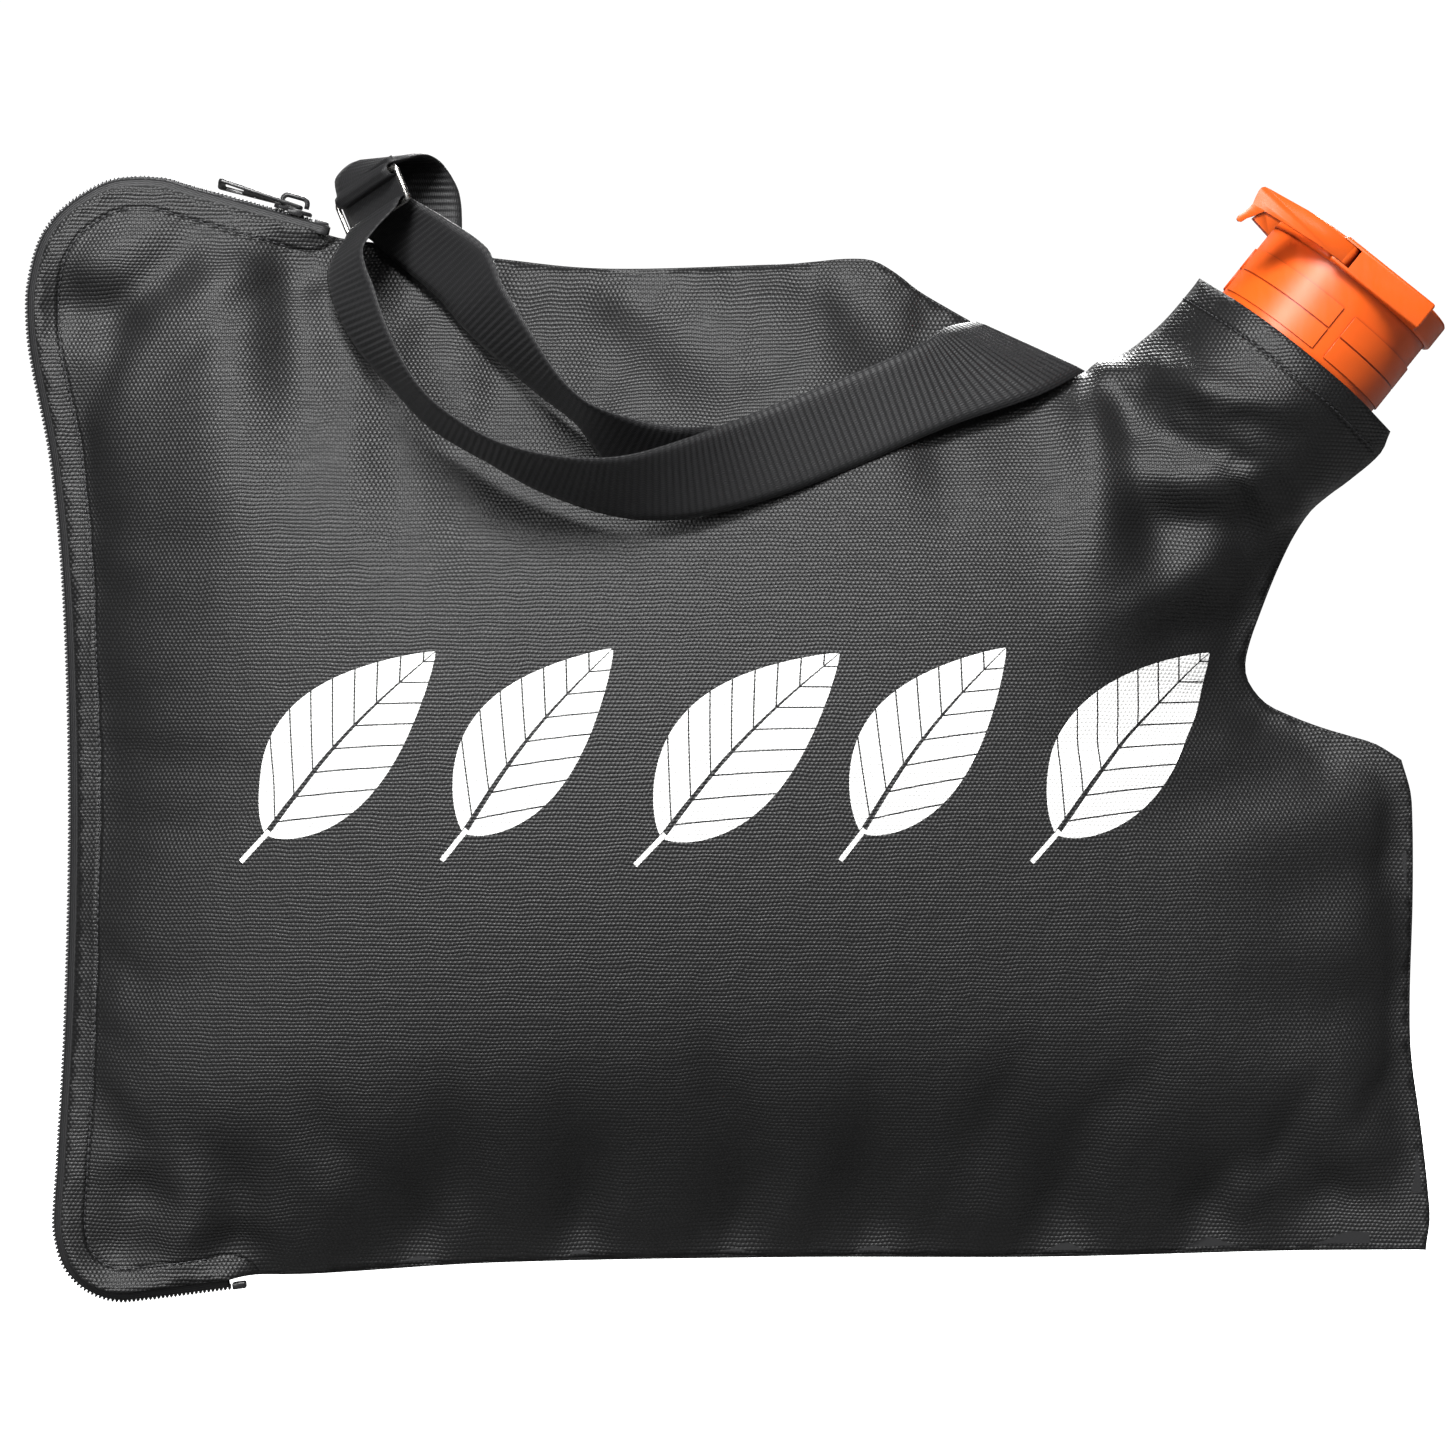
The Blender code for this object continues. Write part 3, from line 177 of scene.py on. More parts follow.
class ClothSettings(bpy.types.PropertyGroup):
    step: length("Mesh step", "Distance between the cloth's points", 0.0066, 0.003, 0.03)
    thickness: length("Thickness", "Thickness of the woven polyester", 0.0010, 0.0003, 0.002)
    weave: length("Weave pitch", "Distance from thread to thread", 0.00165, 0.0004, 0.004)
    pressure: FloatProperty(name="Fill", description="Air pressure that fills the cloth", default=2.4, min=0, max=20)
    slack: FloatProperty(
        name="Slack", description="How much longer the cloth is than the filled form", default=0.022,
        min=0, max=0.1, subtype="FACTOR",
    )
    reach: length("Most movement", "How far the cloth may leave the filled form", 0.0065, 0.0, 0.02)
    frames: IntProperty(name="Frames", description="Length of the simulation", default=20, min=2, max=100)
    dark: colour("Thread", "Colour of the polyester thread", (0.0012, 0.0012, 0.0013))
    # Painted highlight colour for the raised tops of the threads.
    light: colour("Thread highlight", "Colour on top of each thread", (0.0098, 0.0098, 0.0103))
    print_ink: colour("Print", "Colour of the printed leaves", (0.86, 0.86, 0.85))


class StitchSettings(bpy.types.PropertyGroup):
    pitch: length("Pitch", "Distance from stitch to stitch", 0.0034, 0.001, 0.01)
    size: length("Stitch length", "Length of one stitch", 0.0026, 0.0005, 0.01)
    thread: length("Thread", "Radius of the sewing thread", 0.00042, 0.0001, 0.002)
    zip_inset: length("From the zip", "Stitch line inside the zipped edge", 0.0106, 0.002, 0.03)
    hem_inset: length("From the hem", "Stitch line below the hem", 0.0118, 0.002, 0.03)
    ink: colour("Thread", "Colour of the sewing thread", (0.010, 0.010, 0.011))


class ZipSettings(bpy.types.PropertyGroup):
    pitch: length("Pitch", "Distance from coil turn to coil turn", 0.00185, 0.0008, 0.006)
    tooth: length("Tooth", "Half of a coil turn's thickness", 0.00068, 0.0002, 0.002)
    coil: colour("Coil", "Colour of the nylon coil", (0.022, 0.022, 0.023))
    enamel: colour("Enamel", "Colour of the slider's enamel", (0.012, 0.012, 0.013))
    lean: FloatProperty(name="Pull lean", description="Turn of the pull in degrees", default=22, min=-30, max=30)


class ConnectorSettings(bpy.types.PropertyGroup):
    plastic: colour("Plastic", "Colour of the moulded connector", (0.76, 0.104, 0.0085))
    edge: length("Edge rounding", "Rounding of the moulded edges", 0.0005, 0.0, 0.002)


class StrapSettings(bpy.types.PropertyGroup):
    thickness: length("Thickness", "Thickness of the webbing", 0.0016, 0.0005, 0.004)
    rib: length("Rib pitch", "Distance from rib to rib", 0.0031, 0.001, 0.01)
    relief: length("Rib relief", "Height of each rib", 0.00030, 0.0, 0.001)
    step: length("Mesh step", "Distance between the webbing's rows of points", 0.00078, 0.0003, 0.01)
    thread: colour("Thread", "Colour of the webbing", (0.0035, 0.0035, 0.0038))


class StageSettings(bpy.types.PropertyGroup):
    distance: length("Camera distance", "Camera to the bag's middle", 3.2, 0.5, 10.0)
    view_width: length("View width", "Width of the view at the bag", 0.6391, 0.1, 5.0)
    middle_x: length("View middle X", "Where the camera looks", -0.2846, -2.0, 2.0)
    middle_z: length("View middle Z", "Where the camera looks", -0.2025, -2.0, 2.0)
    backdrop: colour("Backdrop", "Colour of the floor and the room", (0.90, 0.90, 0.90))


SETTINGS = (
    ("leaf_bag_cloth", ClothSettings), ("leaf_bag_stitches", StitchSettings), ("leaf_bag_zip", ZipSettings),
    ("leaf_bag_connector", ConnectorSettings), ("leaf_bag_strap", StrapSettings), ("leaf_bag_stage", StageSettings),
)


# Reading the frame

def merged_copy(node):
    """A CAD node's mesh with its loose triangles joined."""
    bm = bmesh.new()
    bm.from_mesh(frame["nodes"][node].data)
    bmesh.ops.remove_doubles(bm, verts=bm.verts, dist=0.000002)
    return bm


def skins(node):
    """The two broad faces of a thin shell, inner first, each with its rim in order."""
    bm = merged_copy(node)
    sharp = [e for e in bm.edges if len(e.link_faces) == 2 and e.calc_face_angle(0) > 1.0]
    bmesh.ops.split_edges(bm, edges=sharp)
    left = set(bm.faces)
    found = []
    while left:
        group = [left.pop()]
        for face in group:
            for edge in face.edges:
                for other in edge.link_faces:
                    if other in left:
                        left.remove(other)
                        group.append(other)
        found.append(group)
    found.sort(key=len, reverse=True)
    made = []
    for group in found[:2]:
        members = set(group)
        faces = [[v.co.copy() for v in f.verts] for f in group]
        steps = {}
        for face in group:
            for loop in face.loops:
                if not any(f in members and f is not face for f in loop.edge.link_faces):
                    steps[loop.vert] = loop.link_loop_next.vert
        start = next(iter(steps))
        rim = [start]
        while steps[rim[-1]] is not start and len(rim) <= len(steps):
            rim.append(steps[rim[-1]])
        made.append((faces, [v.co.copy() for v in rim]))
    made.sort(key=lambda skin: np.mean([abs(p.y) for face in skin[0] for p in face]))
    bm.free()
    return made


def stations(node, first_of):
    """The rings of points along a swept node, starting from those that first_of picks."""
    bm = merged_copy(node)
    ring = first_of(bm)
    seen = set(ring)
    rings = []
    while ring:
        rings.append(np.array([v.co for v in ring]))
        after = []
        for vert in ring:
            for edge in vert.link_edges:
                other = edge.other_vert(vert)
                if other not in seen:
                    seen.add(other)
                    after.append(other)
        ring = after
    bm.free()
    return rings


def coil_start(bm):
    end = max(bm.verts, key=lambda v: v.co.x)
    return sorted(bm.verts, key=lambda v: (v.co - end.co).length)[:8]


def strap_start(bm):
    """The six points of the webbing's sewn end: long narrow faces are only found on its two cut ends."""
    chosen = set()
    for face in bm.faces:
        sides = [e.calc_length() for e in face.edges]
        if min(sides) < 0.0022 and max(sides) > 0.015 and face.calc_center_median().x > -0.2:
            chosen.update(face.verts)
    return list(chosen)


def loop_start(bm):
    return sorted(bm.verts, key=lambda v: v.co.z)[:6]


def rails_of(node, first_of):
    """The two edges of a webbing node, in pairs of points."""
    near, far = [], []
    for ring in stations(node, first_of):
        middle = ring.mean(axis=0)
        direction = np.linalg.svd(ring - middle)[2][0]
        order = np.argsort((ring - middle) @ direction)
        a, b = ring[order[:2]].mean(axis=0), ring[order[-2:]].mean(axis=0)
        if near and np.linalg.norm(a - near[-1]) > np.linalg.norm(b - near[-1]):
            a, b = b, a
        near.append(a)
        far.append(b)
    return np.array(near), np.array(far)


# Paths

def smooth(points, step, closed=False):
    """Points about a step apart on a smooth curve through the given ones."""
    given = np.asarray(points, float)
    count = len(given)
    made = []
    for i in range(count if closed else count - 1):
        a, b = given[i], given[(i + 1) % count]
        before = given[i - 1] if closed or i > 0 else 2 * a - b
        after = given[(i + 2) % count] if closed or i + 2 < count else 2 * b - a
        here = np.linalg.norm(b - a)
        leave = (b - before) * here / max(here + np.linalg.norm(a - before), 1e-9)
        arrive = (after - a) * here / max(here + np.linalg.norm(after - b), 1e-9)
        pieces = max(1, round(here / step))
        t = (np.arange(pieces) / pieces)[:, None]
        made.append(
            (2 * t**3 - 3 * t**2 + 1) * a + (t**3 - 2 * t**2 + t) * leave
            + (3 * t**2 - 2 * t**3) * b + (t**3 - t**2) * arrive
        )
    if not closed:
        made.append(given[-1:])
    return np.concatenate(made)


def travel(path):
    """Distance along a path at each of its points."""
    return np.concatenate([[0], np.cumsum(np.linalg.norm(np.diff(path, axis=0), axis=1))])


def even(path, step):
    """The path at even distances."""
    along = travel(path)
    count = max(2, round(along[-1] / step) + 1)
    at = np.linspace(0, along[-1], count)
    return np.stack([np.interp(at, along, path[:, k]) for k in range(path.shape[1])], axis=1)


def corner_split(path, angle):
    """Indices where a closed flat path turns sharply."""
    before = path - np.roll(path, 1, axis=0)
    after = np.roll(path, -1, axis=0) - path
    turn = np.arctan2(
        before[:, 0] * after[:, 1] - before[:, 1] * after[:, 0], (before * after).sum(axis=1)
    )
    return [int(k) for k in np.nonzero(np.abs(turn) > angle)[0]]


# Making objects

def new_object(name, mesh):
    item = bpy.data.objects.new(name, mesh)
    bpy.context.scene.collection.objects.link(item)
    return item


def select_only(item):
    bpy.ops.object.select_all(action="DESELECT")
    item.select_set(True)
    bpy.context.view_layer.objects.active = item


def baked(item):
    """The evaluated object as a plain mesh, with its modifiers gone."""
    bpy.context.view_layer.update()
    evaluated = item.evaluated_get(bpy.context.evaluated_depsgraph_get())
    mesh = bpy.data.meshes.new_from_object(evaluated)
    mesh.name = item.name
    item.modifiers.clear()
    if item.type == "MESH":
        item.data = mesh
        return item
    name = item.name
    bpy.data.objects.remove(item)
    return new_object(name, mesh)


def strip(name, near, far, thickness, columns, relief=None):
    """A closed band of webbing or tape between two rails. UV holds metres across and along."""
    rows = len(near)
    t = np.linspace(0, 1, columns + 1)
    centre = (near + far) / 2
    along = np.gradient(centre, axis=0)
    along /= np.linalg.norm(along, axis=1)[:, None]
    width = far - near
    normal = np.cross(along, width)
    normal /= np.linalg.norm(normal, axis=1)[:, None]
    distance = travel(centre)
    grid = near[:, None, :] + t[None, :, None] * width[:, None, :]
    edge = np.minimum(t, 1 - t) * np.linalg.norm(width, axis=1).mean()
    rounding = np.sqrt(np.clip(1 - (1 - np.clip(edge / (thickness * 0.7), 0, 1)) ** 2, 0.12, 1))
    half = np.full((rows, columns + 1), thickness / 2) * rounding[None, :]
    if relief is not None:
        half = half + relief(distance[:, None], edge[None, :])
    upper = grid + normal[:, None, :] * half[:, :, None]
    lower = grid - normal[:, None, :] * half[:, :, None]
    points = np.concatenate([upper.reshape(-1, 3), lower.reshape(-1, 3)])
    wide = columns + 1
    offset = rows * wide

    def quads(a, b, c, d):
        return np.stack([a.ravel(), b.ravel(), c.ravel(), d.ravel()], axis=1)

    index = np.arange(rows * wide).reshape(rows, wide)
    top = quads(index[:-1, :-1], index[:-1, 1:], index[1:, 1:], index[1:, :-1])
    bottom = top[:, ::-1] + offset
    left = quads(index[:-1, 0], index[1:, 0], index[1:, 0] + offset, index[:-1, 0] + offset)
    right = quads(index[1:, -1], index[:-1, -1], index[:-1, -1] + offset, index[1:, -1] + offset)
    start = quads(index[0, 1:], index[0, :-1], index[0, :-1] + offset, index[0, 1:] + offset)
    end = quads(index[-1, :-1], index[-1, 1:], index[-1, 1:] + offset, index[-1, :-1] + offset)
    faces = np.concatenate([top, bottom, left, right, start, end])
    mesh = bpy.data.meshes.new(name)
    mesh.from_pydata(points.tolist(), [], faces.tolist())
    across = np.tile(t * np.linalg.norm(width, axis=1).mean(), (rows, 1))
    uv = np.stack([across, np.tile(distance[:, None], (1, wide))], axis=2).reshape(-1, 2)
    uv = np.concatenate([uv, uv])
    layer = mesh.uv_layers.new(name="UVMap")
    corner = np.zeros(len(mesh.loops), int)
    mesh.loops.foreach_get("vertex_index", corner)
    layer.data.foreach_set("uv", uv[corner].ravel())
    mesh.shade_smooth()
    outward(mesh)
    return new_object(name, mesh)


def outward(mesh):
    """Faces of a closed mesh turned to point outwards."""
    bm = bmesh.new()
    bm.from_mesh(mesh)
    bmesh.ops.recalc_face_normals(bm, faces=bm.faces)
    if bm.calc_volume(signed=True) < 0:
        bmesh.ops.reverse_faces(bm, faces=bm.faces)
    bm.to_mesh(mesh)
    bm.free()


def subdivided(co, faces):
    """Each triangle cut in four and the new points evened out, with the rim left where it is."""
    sides = np.sort(faces[:, [[0, 1], [1, 2], [2, 0]]].reshape(-1, 2), axis=1)
    edges, where, uses = np.unique(sides, axis=0, return_inverse=True, return_counts=True)
    where = where.reshape(-1)
    facing = co[faces[:, [2, 0, 1]].reshape(-1)]
    across = np.stack([np.bincount(where, facing[:, k], len(edges)) for k in range(co.shape[1])], axis=1)
    ends = co[edges[:, 0]] + co[edges[:, 1]]
    rim = (uses == 1)[:, None]
    middle = np.where(rim, ends / 2, ends * 3 / 8 + across / 8)
    degree = np.bincount(edges.ravel(), minlength=len(co)).astype(float)
    around = np.zeros_like(co)
    for k in range(co.shape[1]):
        around[:, k] += np.bincount(edges[:, 0], co[edges[:, 1], k], len(co))
        around[:, k] += np.bincount(edges[:, 1], co[edges[:, 0], k], len(co))
    share = (0.625 - (0.375 + np.cos(2 * np.pi / np.maximum(degree, 1)) / 4) ** 2)[:, None]
    moved = co * (1 - share) + around * share / np.maximum(degree, 1)[:, None]
    on_rim = np.zeros(len(co), bool)
    on_rim[edges[uses == 1].ravel()] = True
    moved[on_rim] = co[on_rim]
    m = where.reshape(-1, 3) + len(co)
    a, b, c = faces.T
    cut = np.concatenate([
        np.stack([a, m[:, 0], m[:, 2]], axis=1), np.stack([b, m[:, 1], m[:, 0]], axis=1),
        np.stack([c, m[:, 2], m[:, 1]], axis=1), m,
    ])
    return np.concatenate([moved, middle]), cut


def walled(name, co, faces, uv, thickness, **measures):
    """A closed shell: the given skin outside, one thickness of cloth, and the skin inside."""
    corners = co[faces]
    flat = np.cross(corners[:, 1] - corners[:, 0], corners[:, 2] - corners[:, 0])
    normal = np.zeros_like(co)
    for k in range(3):
        for axis in range(3):
            normal[:, axis] += np.bincount(faces[:, k], flat[:, axis], len(co))
    normal /= np.maximum(np.linalg.norm(normal, axis=1), 1e-12)[:, None]
    sides = faces[:, [[0, 1], [1, 2], [2, 0]]].reshape(-1, 2)
    _, where, uses = np.unique(np.sort(sides, axis=1), axis=0, return_inverse=True, return_counts=True)
    rim = sides[uses[where.reshape(-1)] == 1]
    n = len(co)
    band = np.concatenate([
        np.stack([rim[:, 1], rim[:, 0], rim[:, 0] + n], axis=1),
        np.stack([rim[:, 1], rim[:, 0] + n, rim[:, 1] + n], axis=1),
    ])
    every = np.concatenate([faces, faces[:, ::-1] + n, band])
    mesh = bpy.data.meshes.new(name)
    mesh.from_pydata(np.concatenate([co, co - normal * thickness]).tolist(), [], every.tolist())
    layer = mesh.uv_layers.new(name="UVMap")
    layer.data.foreach_set("uv", np.concatenate([uv, uv])[every.reshape(-1)].ravel())
    for key, values in measures.items():
        mesh.attributes.new(key, "FLOAT", "POINT").data.foreach_set("value", np.concatenate([values, values]))
    mesh.shade_smooth()
    return new_object(name, mesh)


def path_curve(name, path):
    curve = bpy.data.curves.new(name, "CURVE")
    curve.dimensions = "3D"
    spline = curve.splines.new("POLY")
    spline.points.add(len(path) - 1)
    spline.points.foreach_set("co", np.concatenate([path, np.ones((len(path), 1))], axis=1).ravel())
    return new_object(name, curve)


def bead_tree():
    """Geometry nodes that set rounded beads along a curve: pitch, start, and the bead's half sizes."""
    tree = bpy.data.node_groups.new("beads_along_path", "GeometryNodeTree")
    faces = tree.interface
    faces.new_socket("Geometry", in_out="INPUT", socket_type="NodeSocketGeometry")
    for name in ("Pitch", "Start", "Across", "Out", "Along"):
        faces.new_socket(name, in_out="INPUT", socket_type="NodeSocketFloat")
    faces.new_socket("Follow path", in_out="INPUT", socket_type="NodeSocketBool")
    faces.new_socket("Material", in_out="INPUT", socket_type="NodeSocketMaterial")
    faces.new_socket("Geometry", in_out="OUTPUT", socket_type="NodeSocketGeometry")
    nodes, links = tree.nodes, tree.links
    given = nodes.new("NodeGroupInput")
    result = nodes.new("NodeGroupOutput")
    trim = nodes.new("GeometryNodeTrimCurve")
    trim.mode = "LENGTH"
    trim.inputs["End"].default_value = 1000
    for socket in trim.inputs:
        if socket.identifier == "Start_001":
            start_at = socket
        if socket.identifier == "End_001":
            socket.default_value = 1000
    spread = nodes.new("GeometryNodeResampleCurve")
    spread.mode = "LENGTH"
    length_in = next(s for s in spread.inputs if s.name == "Length")
    bead = nodes.new("GeometryNodeMeshUVSphere")
    bead.inputs["Segments"].default_value = 8
    bead.inputs["Rings"].default_value = 5
    bead.inputs["Radius"].default_value = 1
    size = nodes.new("ShaderNodeCombineXYZ")
    shape = nodes.new("GeometryNodeTransform")
    tangent = nodes.new("GeometryNodeInputTangent")
    turn = nodes.new("FunctionNodeAlignRotationToVector")
    turn.axis = "Z"
    pick = nodes.new("GeometryNodeSwitch")
    pick.input_type = "ROTATION"
    place = nodes.new("GeometryNodeInstanceOnPoints")
    real = nodes.new("GeometryNodeRealizeInstances")
    soft = nodes.new("GeometryNodeSetShadeSmooth")
    paint = nodes.new("GeometryNodeSetMaterial")
    links.new(given.outputs["Geometry"], trim.inputs["Curve"])
    links.new(given.outputs["Start"], start_at)
    links.new(trim.outputs["Curve"], spread.inputs["Curve"])
    links.new(given.outputs["Pitch"], length_in)
    links.new(given.outputs["Across"], size.inputs["X"])
    links.new(given.outputs["Out"], size.inputs["Y"])
    links.new(given.outputs["Along"], size.inputs["Z"])
    links.new(bead.outputs["Mesh"], shape.inputs["Geometry"])
    links.new(size.outputs["Vector"], shape.inputs["Scale"])
    links.new(tangent.outputs["Tangent"], turn.inputs["Vector"])
    links.new(given.outputs["Follow path"], pick.inputs["Switch"])
    links.new(turn.outputs["Rotation"], pick.inputs["True"])
    links.new(spread.outputs["Curve"], place.inputs["Points"])
    links.new(shape.outputs["Geometry"], place.inputs["Instance"])
    links.new(pick.outputs["Output"], place.inputs["Rotation"])
    links.new(place.outputs["Instances"], real.inputs["Geometry"])
    links.new(real.outputs["Geometry"], soft.inputs["Geometry"])
    links.new(soft.outputs["Geometry"], paint.inputs["Geometry"])
    links.new(given.outputs["Material"], paint.inputs["Material"])
    links.new(paint.outputs["Geometry"], result.inputs["Geometry"])
    return tree


def beads(name, path, look, pitch, sizes, start=0.0, follow=True):
    """Beads of the given half sizes along a path, as one plain mesh."""
    tree = bpy.data.node_groups.get("beads_along_path") or bead_tree()
    item = path_curve(name, path)
    step = item.modifiers.new("beads", "NODES")
    step.node_group = tree
    keys = {s.name: s.identifier for s in tree.interface.items_tree if s.in_out == "INPUT"}
    values = {
        "Pitch": pitch, "Start": start, "Across": sizes[0], "Out": sizes[1], "Along": sizes[2],
        "Follow path": follow, "Material": look,
    }
    for key, value in values.items():
        step[keys[key]] = value
    made = baked(item)
    if not made.data.materials:
        made.data.materials.append(look)
    return made


# Materials

class Look:
    """A Principled material whose colour, roughness and bump come from nodes."""

    def __init__(self, name, roughness=0.5, metallic=0.0, **sockets):
        self.material = bpy.data.materials.new(name)
        self.material.use_nodes = True
        self.tree = self.material.node_tree
        self.shader = self.tree.nodes["Principled BSDF"]
        self.shader.inputs["Roughness"].default_value = roughness
        self.shader.inputs["Metallic"].default_value = metallic
        for key, value in sockets.items():
            self.shader.inputs[key.replace("_", " ")].default_value = value
        self.place = self.tree.nodes.new("ShaderNodeTexCoord")

    def link(self, value, socket):
        if isinstance(value, bpy.types.NodeSocket):
            self.tree.links.new(value, socket)
        else:
            socket.default_value = value

    def math(self, operation, *values, clamp=False):
        node = self.tree.nodes.new("ShaderNodeMath")
        node.operation = operation
        node.use_clamp = clamp
        for value, socket in zip(values, node.inputs):
            self.link(value, socket)
        return node.outputs[0]

    def mapping(self, vector, scale=(1, 1, 1), turn=0.0):
        node = self.tree.nodes.new("ShaderNodeMapping")
        self.link(vector, node.inputs["Vector"])
        node.inputs["Scale"].default_value = scale
        node.inputs["Rotation"].default_value = (0, 0, turn)
        return node.outputs[0]

    def noise(self, vector, scale, detail=3.0, roughness=0.5):
        node = self.tree.nodes.new("ShaderNodeTexNoise")
        self.link(vector, node.inputs["Vector"])
        node.inputs["Scale"].default_value = scale
        node.inputs["Detail"].default_value = detail
        node.inputs["Roughness"].default_value = roughness
        return node.outputs["Fac"]

    def parts(self, vector):
        node = self.tree.nodes.new("ShaderNodeSeparateXYZ")
        self.link(vector, node.inputs[0])
        return node.outputs

    def ramp(self, value, stops):
        node = self.tree.nodes.new("ShaderNodeValToRGB")
        self.link(value, node.inputs[0])
        ramp = node.color_ramp
        while len(ramp.elements) < len(stops):
            ramp.elements.new(0.5)
        for element, (at, shade) in zip(ramp.elements, stops):
            element.position = at
            element.color = (*shade, 1) if len(shade) == 3 else shade
        return node.outputs[0]

    def mix(self, share, first, second):
        node = self.tree.nodes.new("ShaderNodeMix")
        node.data_type = "RGBA"
        self.link(share, node.inputs["Factor"])
        colours = [s for s in node.inputs if s.type == "RGBA"]
        for value, socket in zip((first, second), colours):
            if isinstance(value, bpy.types.NodeSocket):
                self.tree.links.new(value, socket)
            else:
                socket.default_value = (*value, 1)
        return next(s for s in node.outputs if s.type == "RGBA")

    def spread(self, value, low, high, to_low, to_high):
        node = self.tree.nodes.new("ShaderNodeMapRange")
        for key, v in (("Value", value), ("From Min", low), ("From Max", high), ("To Min", to_low), ("To Max", to_high)):
            self.link(v, node.inputs[key])
        return node.outputs[0]

    def bump(self, height, distance, strength=1.0, after=None):
        node = self.tree.nodes.new("ShaderNodeBump")
        node.inputs["Strength"].default_value = strength
        node.inputs["Distance"].default_value = distance
        self.link(height, node.inputs["Height"])
        if after is not None:
            self.tree.links.new(after, node.inputs["Normal"])
        return node.outputs[0]

    def set(self, **sockets):
        for key, value in sockets.items():
            self.link(value, self.shader.inputs[key.replace("_", " ")])


def weave_height(look, uv, pitch):
    """Plain weave: rows of short floats, every other one shifted by half, with slubs in both directions."""
    u, v = look.parts(uv)[:2]
    bend = look.math("MULTIPLY", look.math("SUBTRACT", look.noise(uv, 60.0, 2.0), 0.5), pitch * 1.6)
    v = look.math("ADD", v, bend)
    row = look.math("ABSOLUTE", look.math("SINE", look.math("MULTIPLY", v, math.pi / pitch)))
    wave = [look.math("SINE", look.math("MULTIPLY", x, 2 * math.pi / pitch / k)) for x, k in ((u, 1.15), (v, 2.0))]
    cross = look.math("MULTIPLY", wave[0], wave[1])
    slub = look.noise(look.mapping(uv, (0.10 / pitch, 1.0 / pitch, 1)), 1.0, 2.0)
    weft = look.noise(look.mapping(uv, (1.0 / pitch, 0.20 / pitch, 1)), 1.0, 2.0)
    uneven = look.math("ADD", look.math("MULTIPLY", slub, 0.45), look.math("MULTIPLY", weft, 0.25))
    raised = look.math("ADD", look.math("MULTIPLY", row, 0.55), look.math("MULTIPLY", cross, 0.30))
    return look.math("ADD", raised, uneven), cross


def sewn_lines(look):
    """Where the cloth is pressed in along its stitch lines, and where it lies double beside them."""
    line, double = None, None
    stitches = bpy.context.scene.leaf_bag_stitches
    for name, inset in (("zip_edge", stitches.zip_inset), ("hem_edge", stitches.hem_inset)):
        node = look.tree.nodes.new("ShaderNodeAttribute")
        node.attribute_name = name
        away = look.math("SUBTRACT", node.outputs["Fac"], inset)
        groove = look.spread(look.math("ABSOLUTE", away), 0.0004, 0.0017, 1.0, 0.0)
        fold = look.spread(away, -0.0010, 0.0004, 1.0, 0.0)
        line = groove if line is None else look.math("MAXIMUM", line, groove)
        double = fold if double is None else look.math("MAXIMUM", double, fold)
    return line, double


def leaf_group():
    """1 inside a printed leaf with an open midrib and veins, 0 outside."""
    tree = bpy.data.node_groups.new("printed_leaf", "ShaderNodeTree")
    for name, kind in (
        ("U", "NodeSocketFloat"), ("V", "NodeSocketFloat"), ("X", "NodeSocketFloat"), ("Z", "NodeSocketFloat"),
        ("Angle", "NodeSocketFloat"), ("Length", "NodeSocketFloat"), ("Half width", "NodeSocketFloat"),
    ):
        tree.interface.new_socket(name, in_out="INPUT", socket_type=kind)
    tree.interface.new_socket("Mask", in_out="OUTPUT", socket_type="NodeSocketFloat")
    nodes, links = tree.nodes, tree.links
    given, result = nodes.new("NodeGroupInput"), nodes.new("NodeGroupOutput")

    def math_node(operation, *values, clamp=False):
        node = nodes.new("ShaderNodeMath")
        node.operation = operation
        node.use_clamp = clamp
        for value, socket in zip(values, node.inputs):
            if isinstance(value, bpy.types.NodeSocket):
                links.new(value, socket)
            else:
                socket.default_value = value
        return node.outputs[0]

    get = given.outputs
    du, dv = math_node("SUBTRACT", get["U"], get["X"]), math_node("SUBTRACT", get["V"], get["Z"])
    cos, sin = math_node("COSINE", get["Angle"]), math_node("SINE", get["Angle"])
    along = math_node("ADD", math_node("MULTIPLY", du, cos), math_node("MULTIPLY", dv, sin))
    across = math_node("SUBTRACT", math_node("MULTIPLY", dv, cos), math_node("MULTIPLY", du, sin))
    t = math_node("DIVIDE", along, get["Length"])
    bend = math_node("MULTIPLY", math_node("SINE", math_node("MULTIPLY", t, math.pi)), 0.0040)
    across = math_node("SUBTRACT", across, bend)
    away = math_node("ABSOLUTE", across)
    held = math_node("MINIMUM", math_node("MAXIMUM", t, 0.0), 1.0)
    skew = math_node("POWER", held, 0.78)
    profile = math_node("SINE", math_node("MULTIPLY", skew, math.pi))
    profile = math_node("POWER", math_node("MAXIMUM", profile, 0.0), 0.86)
    edge = math_node("MULTIPLY", profile, get["Half width"])
    blade = math_node("LESS_THAN", away, edge)
    rib = math_node("GREATER_THAN", away, math_node("MULTIPLY", math_node("SUBTRACT", 1.15, held), 0.0011))
    vein_at = math_node("DIVIDE", math_node("SUBTRACT", along, math_node("MULTIPLY", away, 1.05)), 0.0135)
    vein = math_node("ABSOLUTE", math_node("SUBTRACT", math_node("FRACT", vein_at), 0.5))
    vein = math_node("GREATER_THAN", vein, 0.036)
    blade = math_node("MULTIPLY", math_node("MULTIPLY", blade, rib), vein)
    stalk = math_node("LESS_THAN", math_node("ABSOLUTE", math_node("ADD", across, bend)), 0.0011)
    before = math_node("MULTIPLY", math_node("LESS_THAN", t, 0.02), math_node("GREATER_THAN", t, -0.15))
    stalk = math_node("MULTIPLY", stalk, before)
    links.new(math_node("MAXIMUM", blade, stalk), result.inputs["Mask"])
    return tree


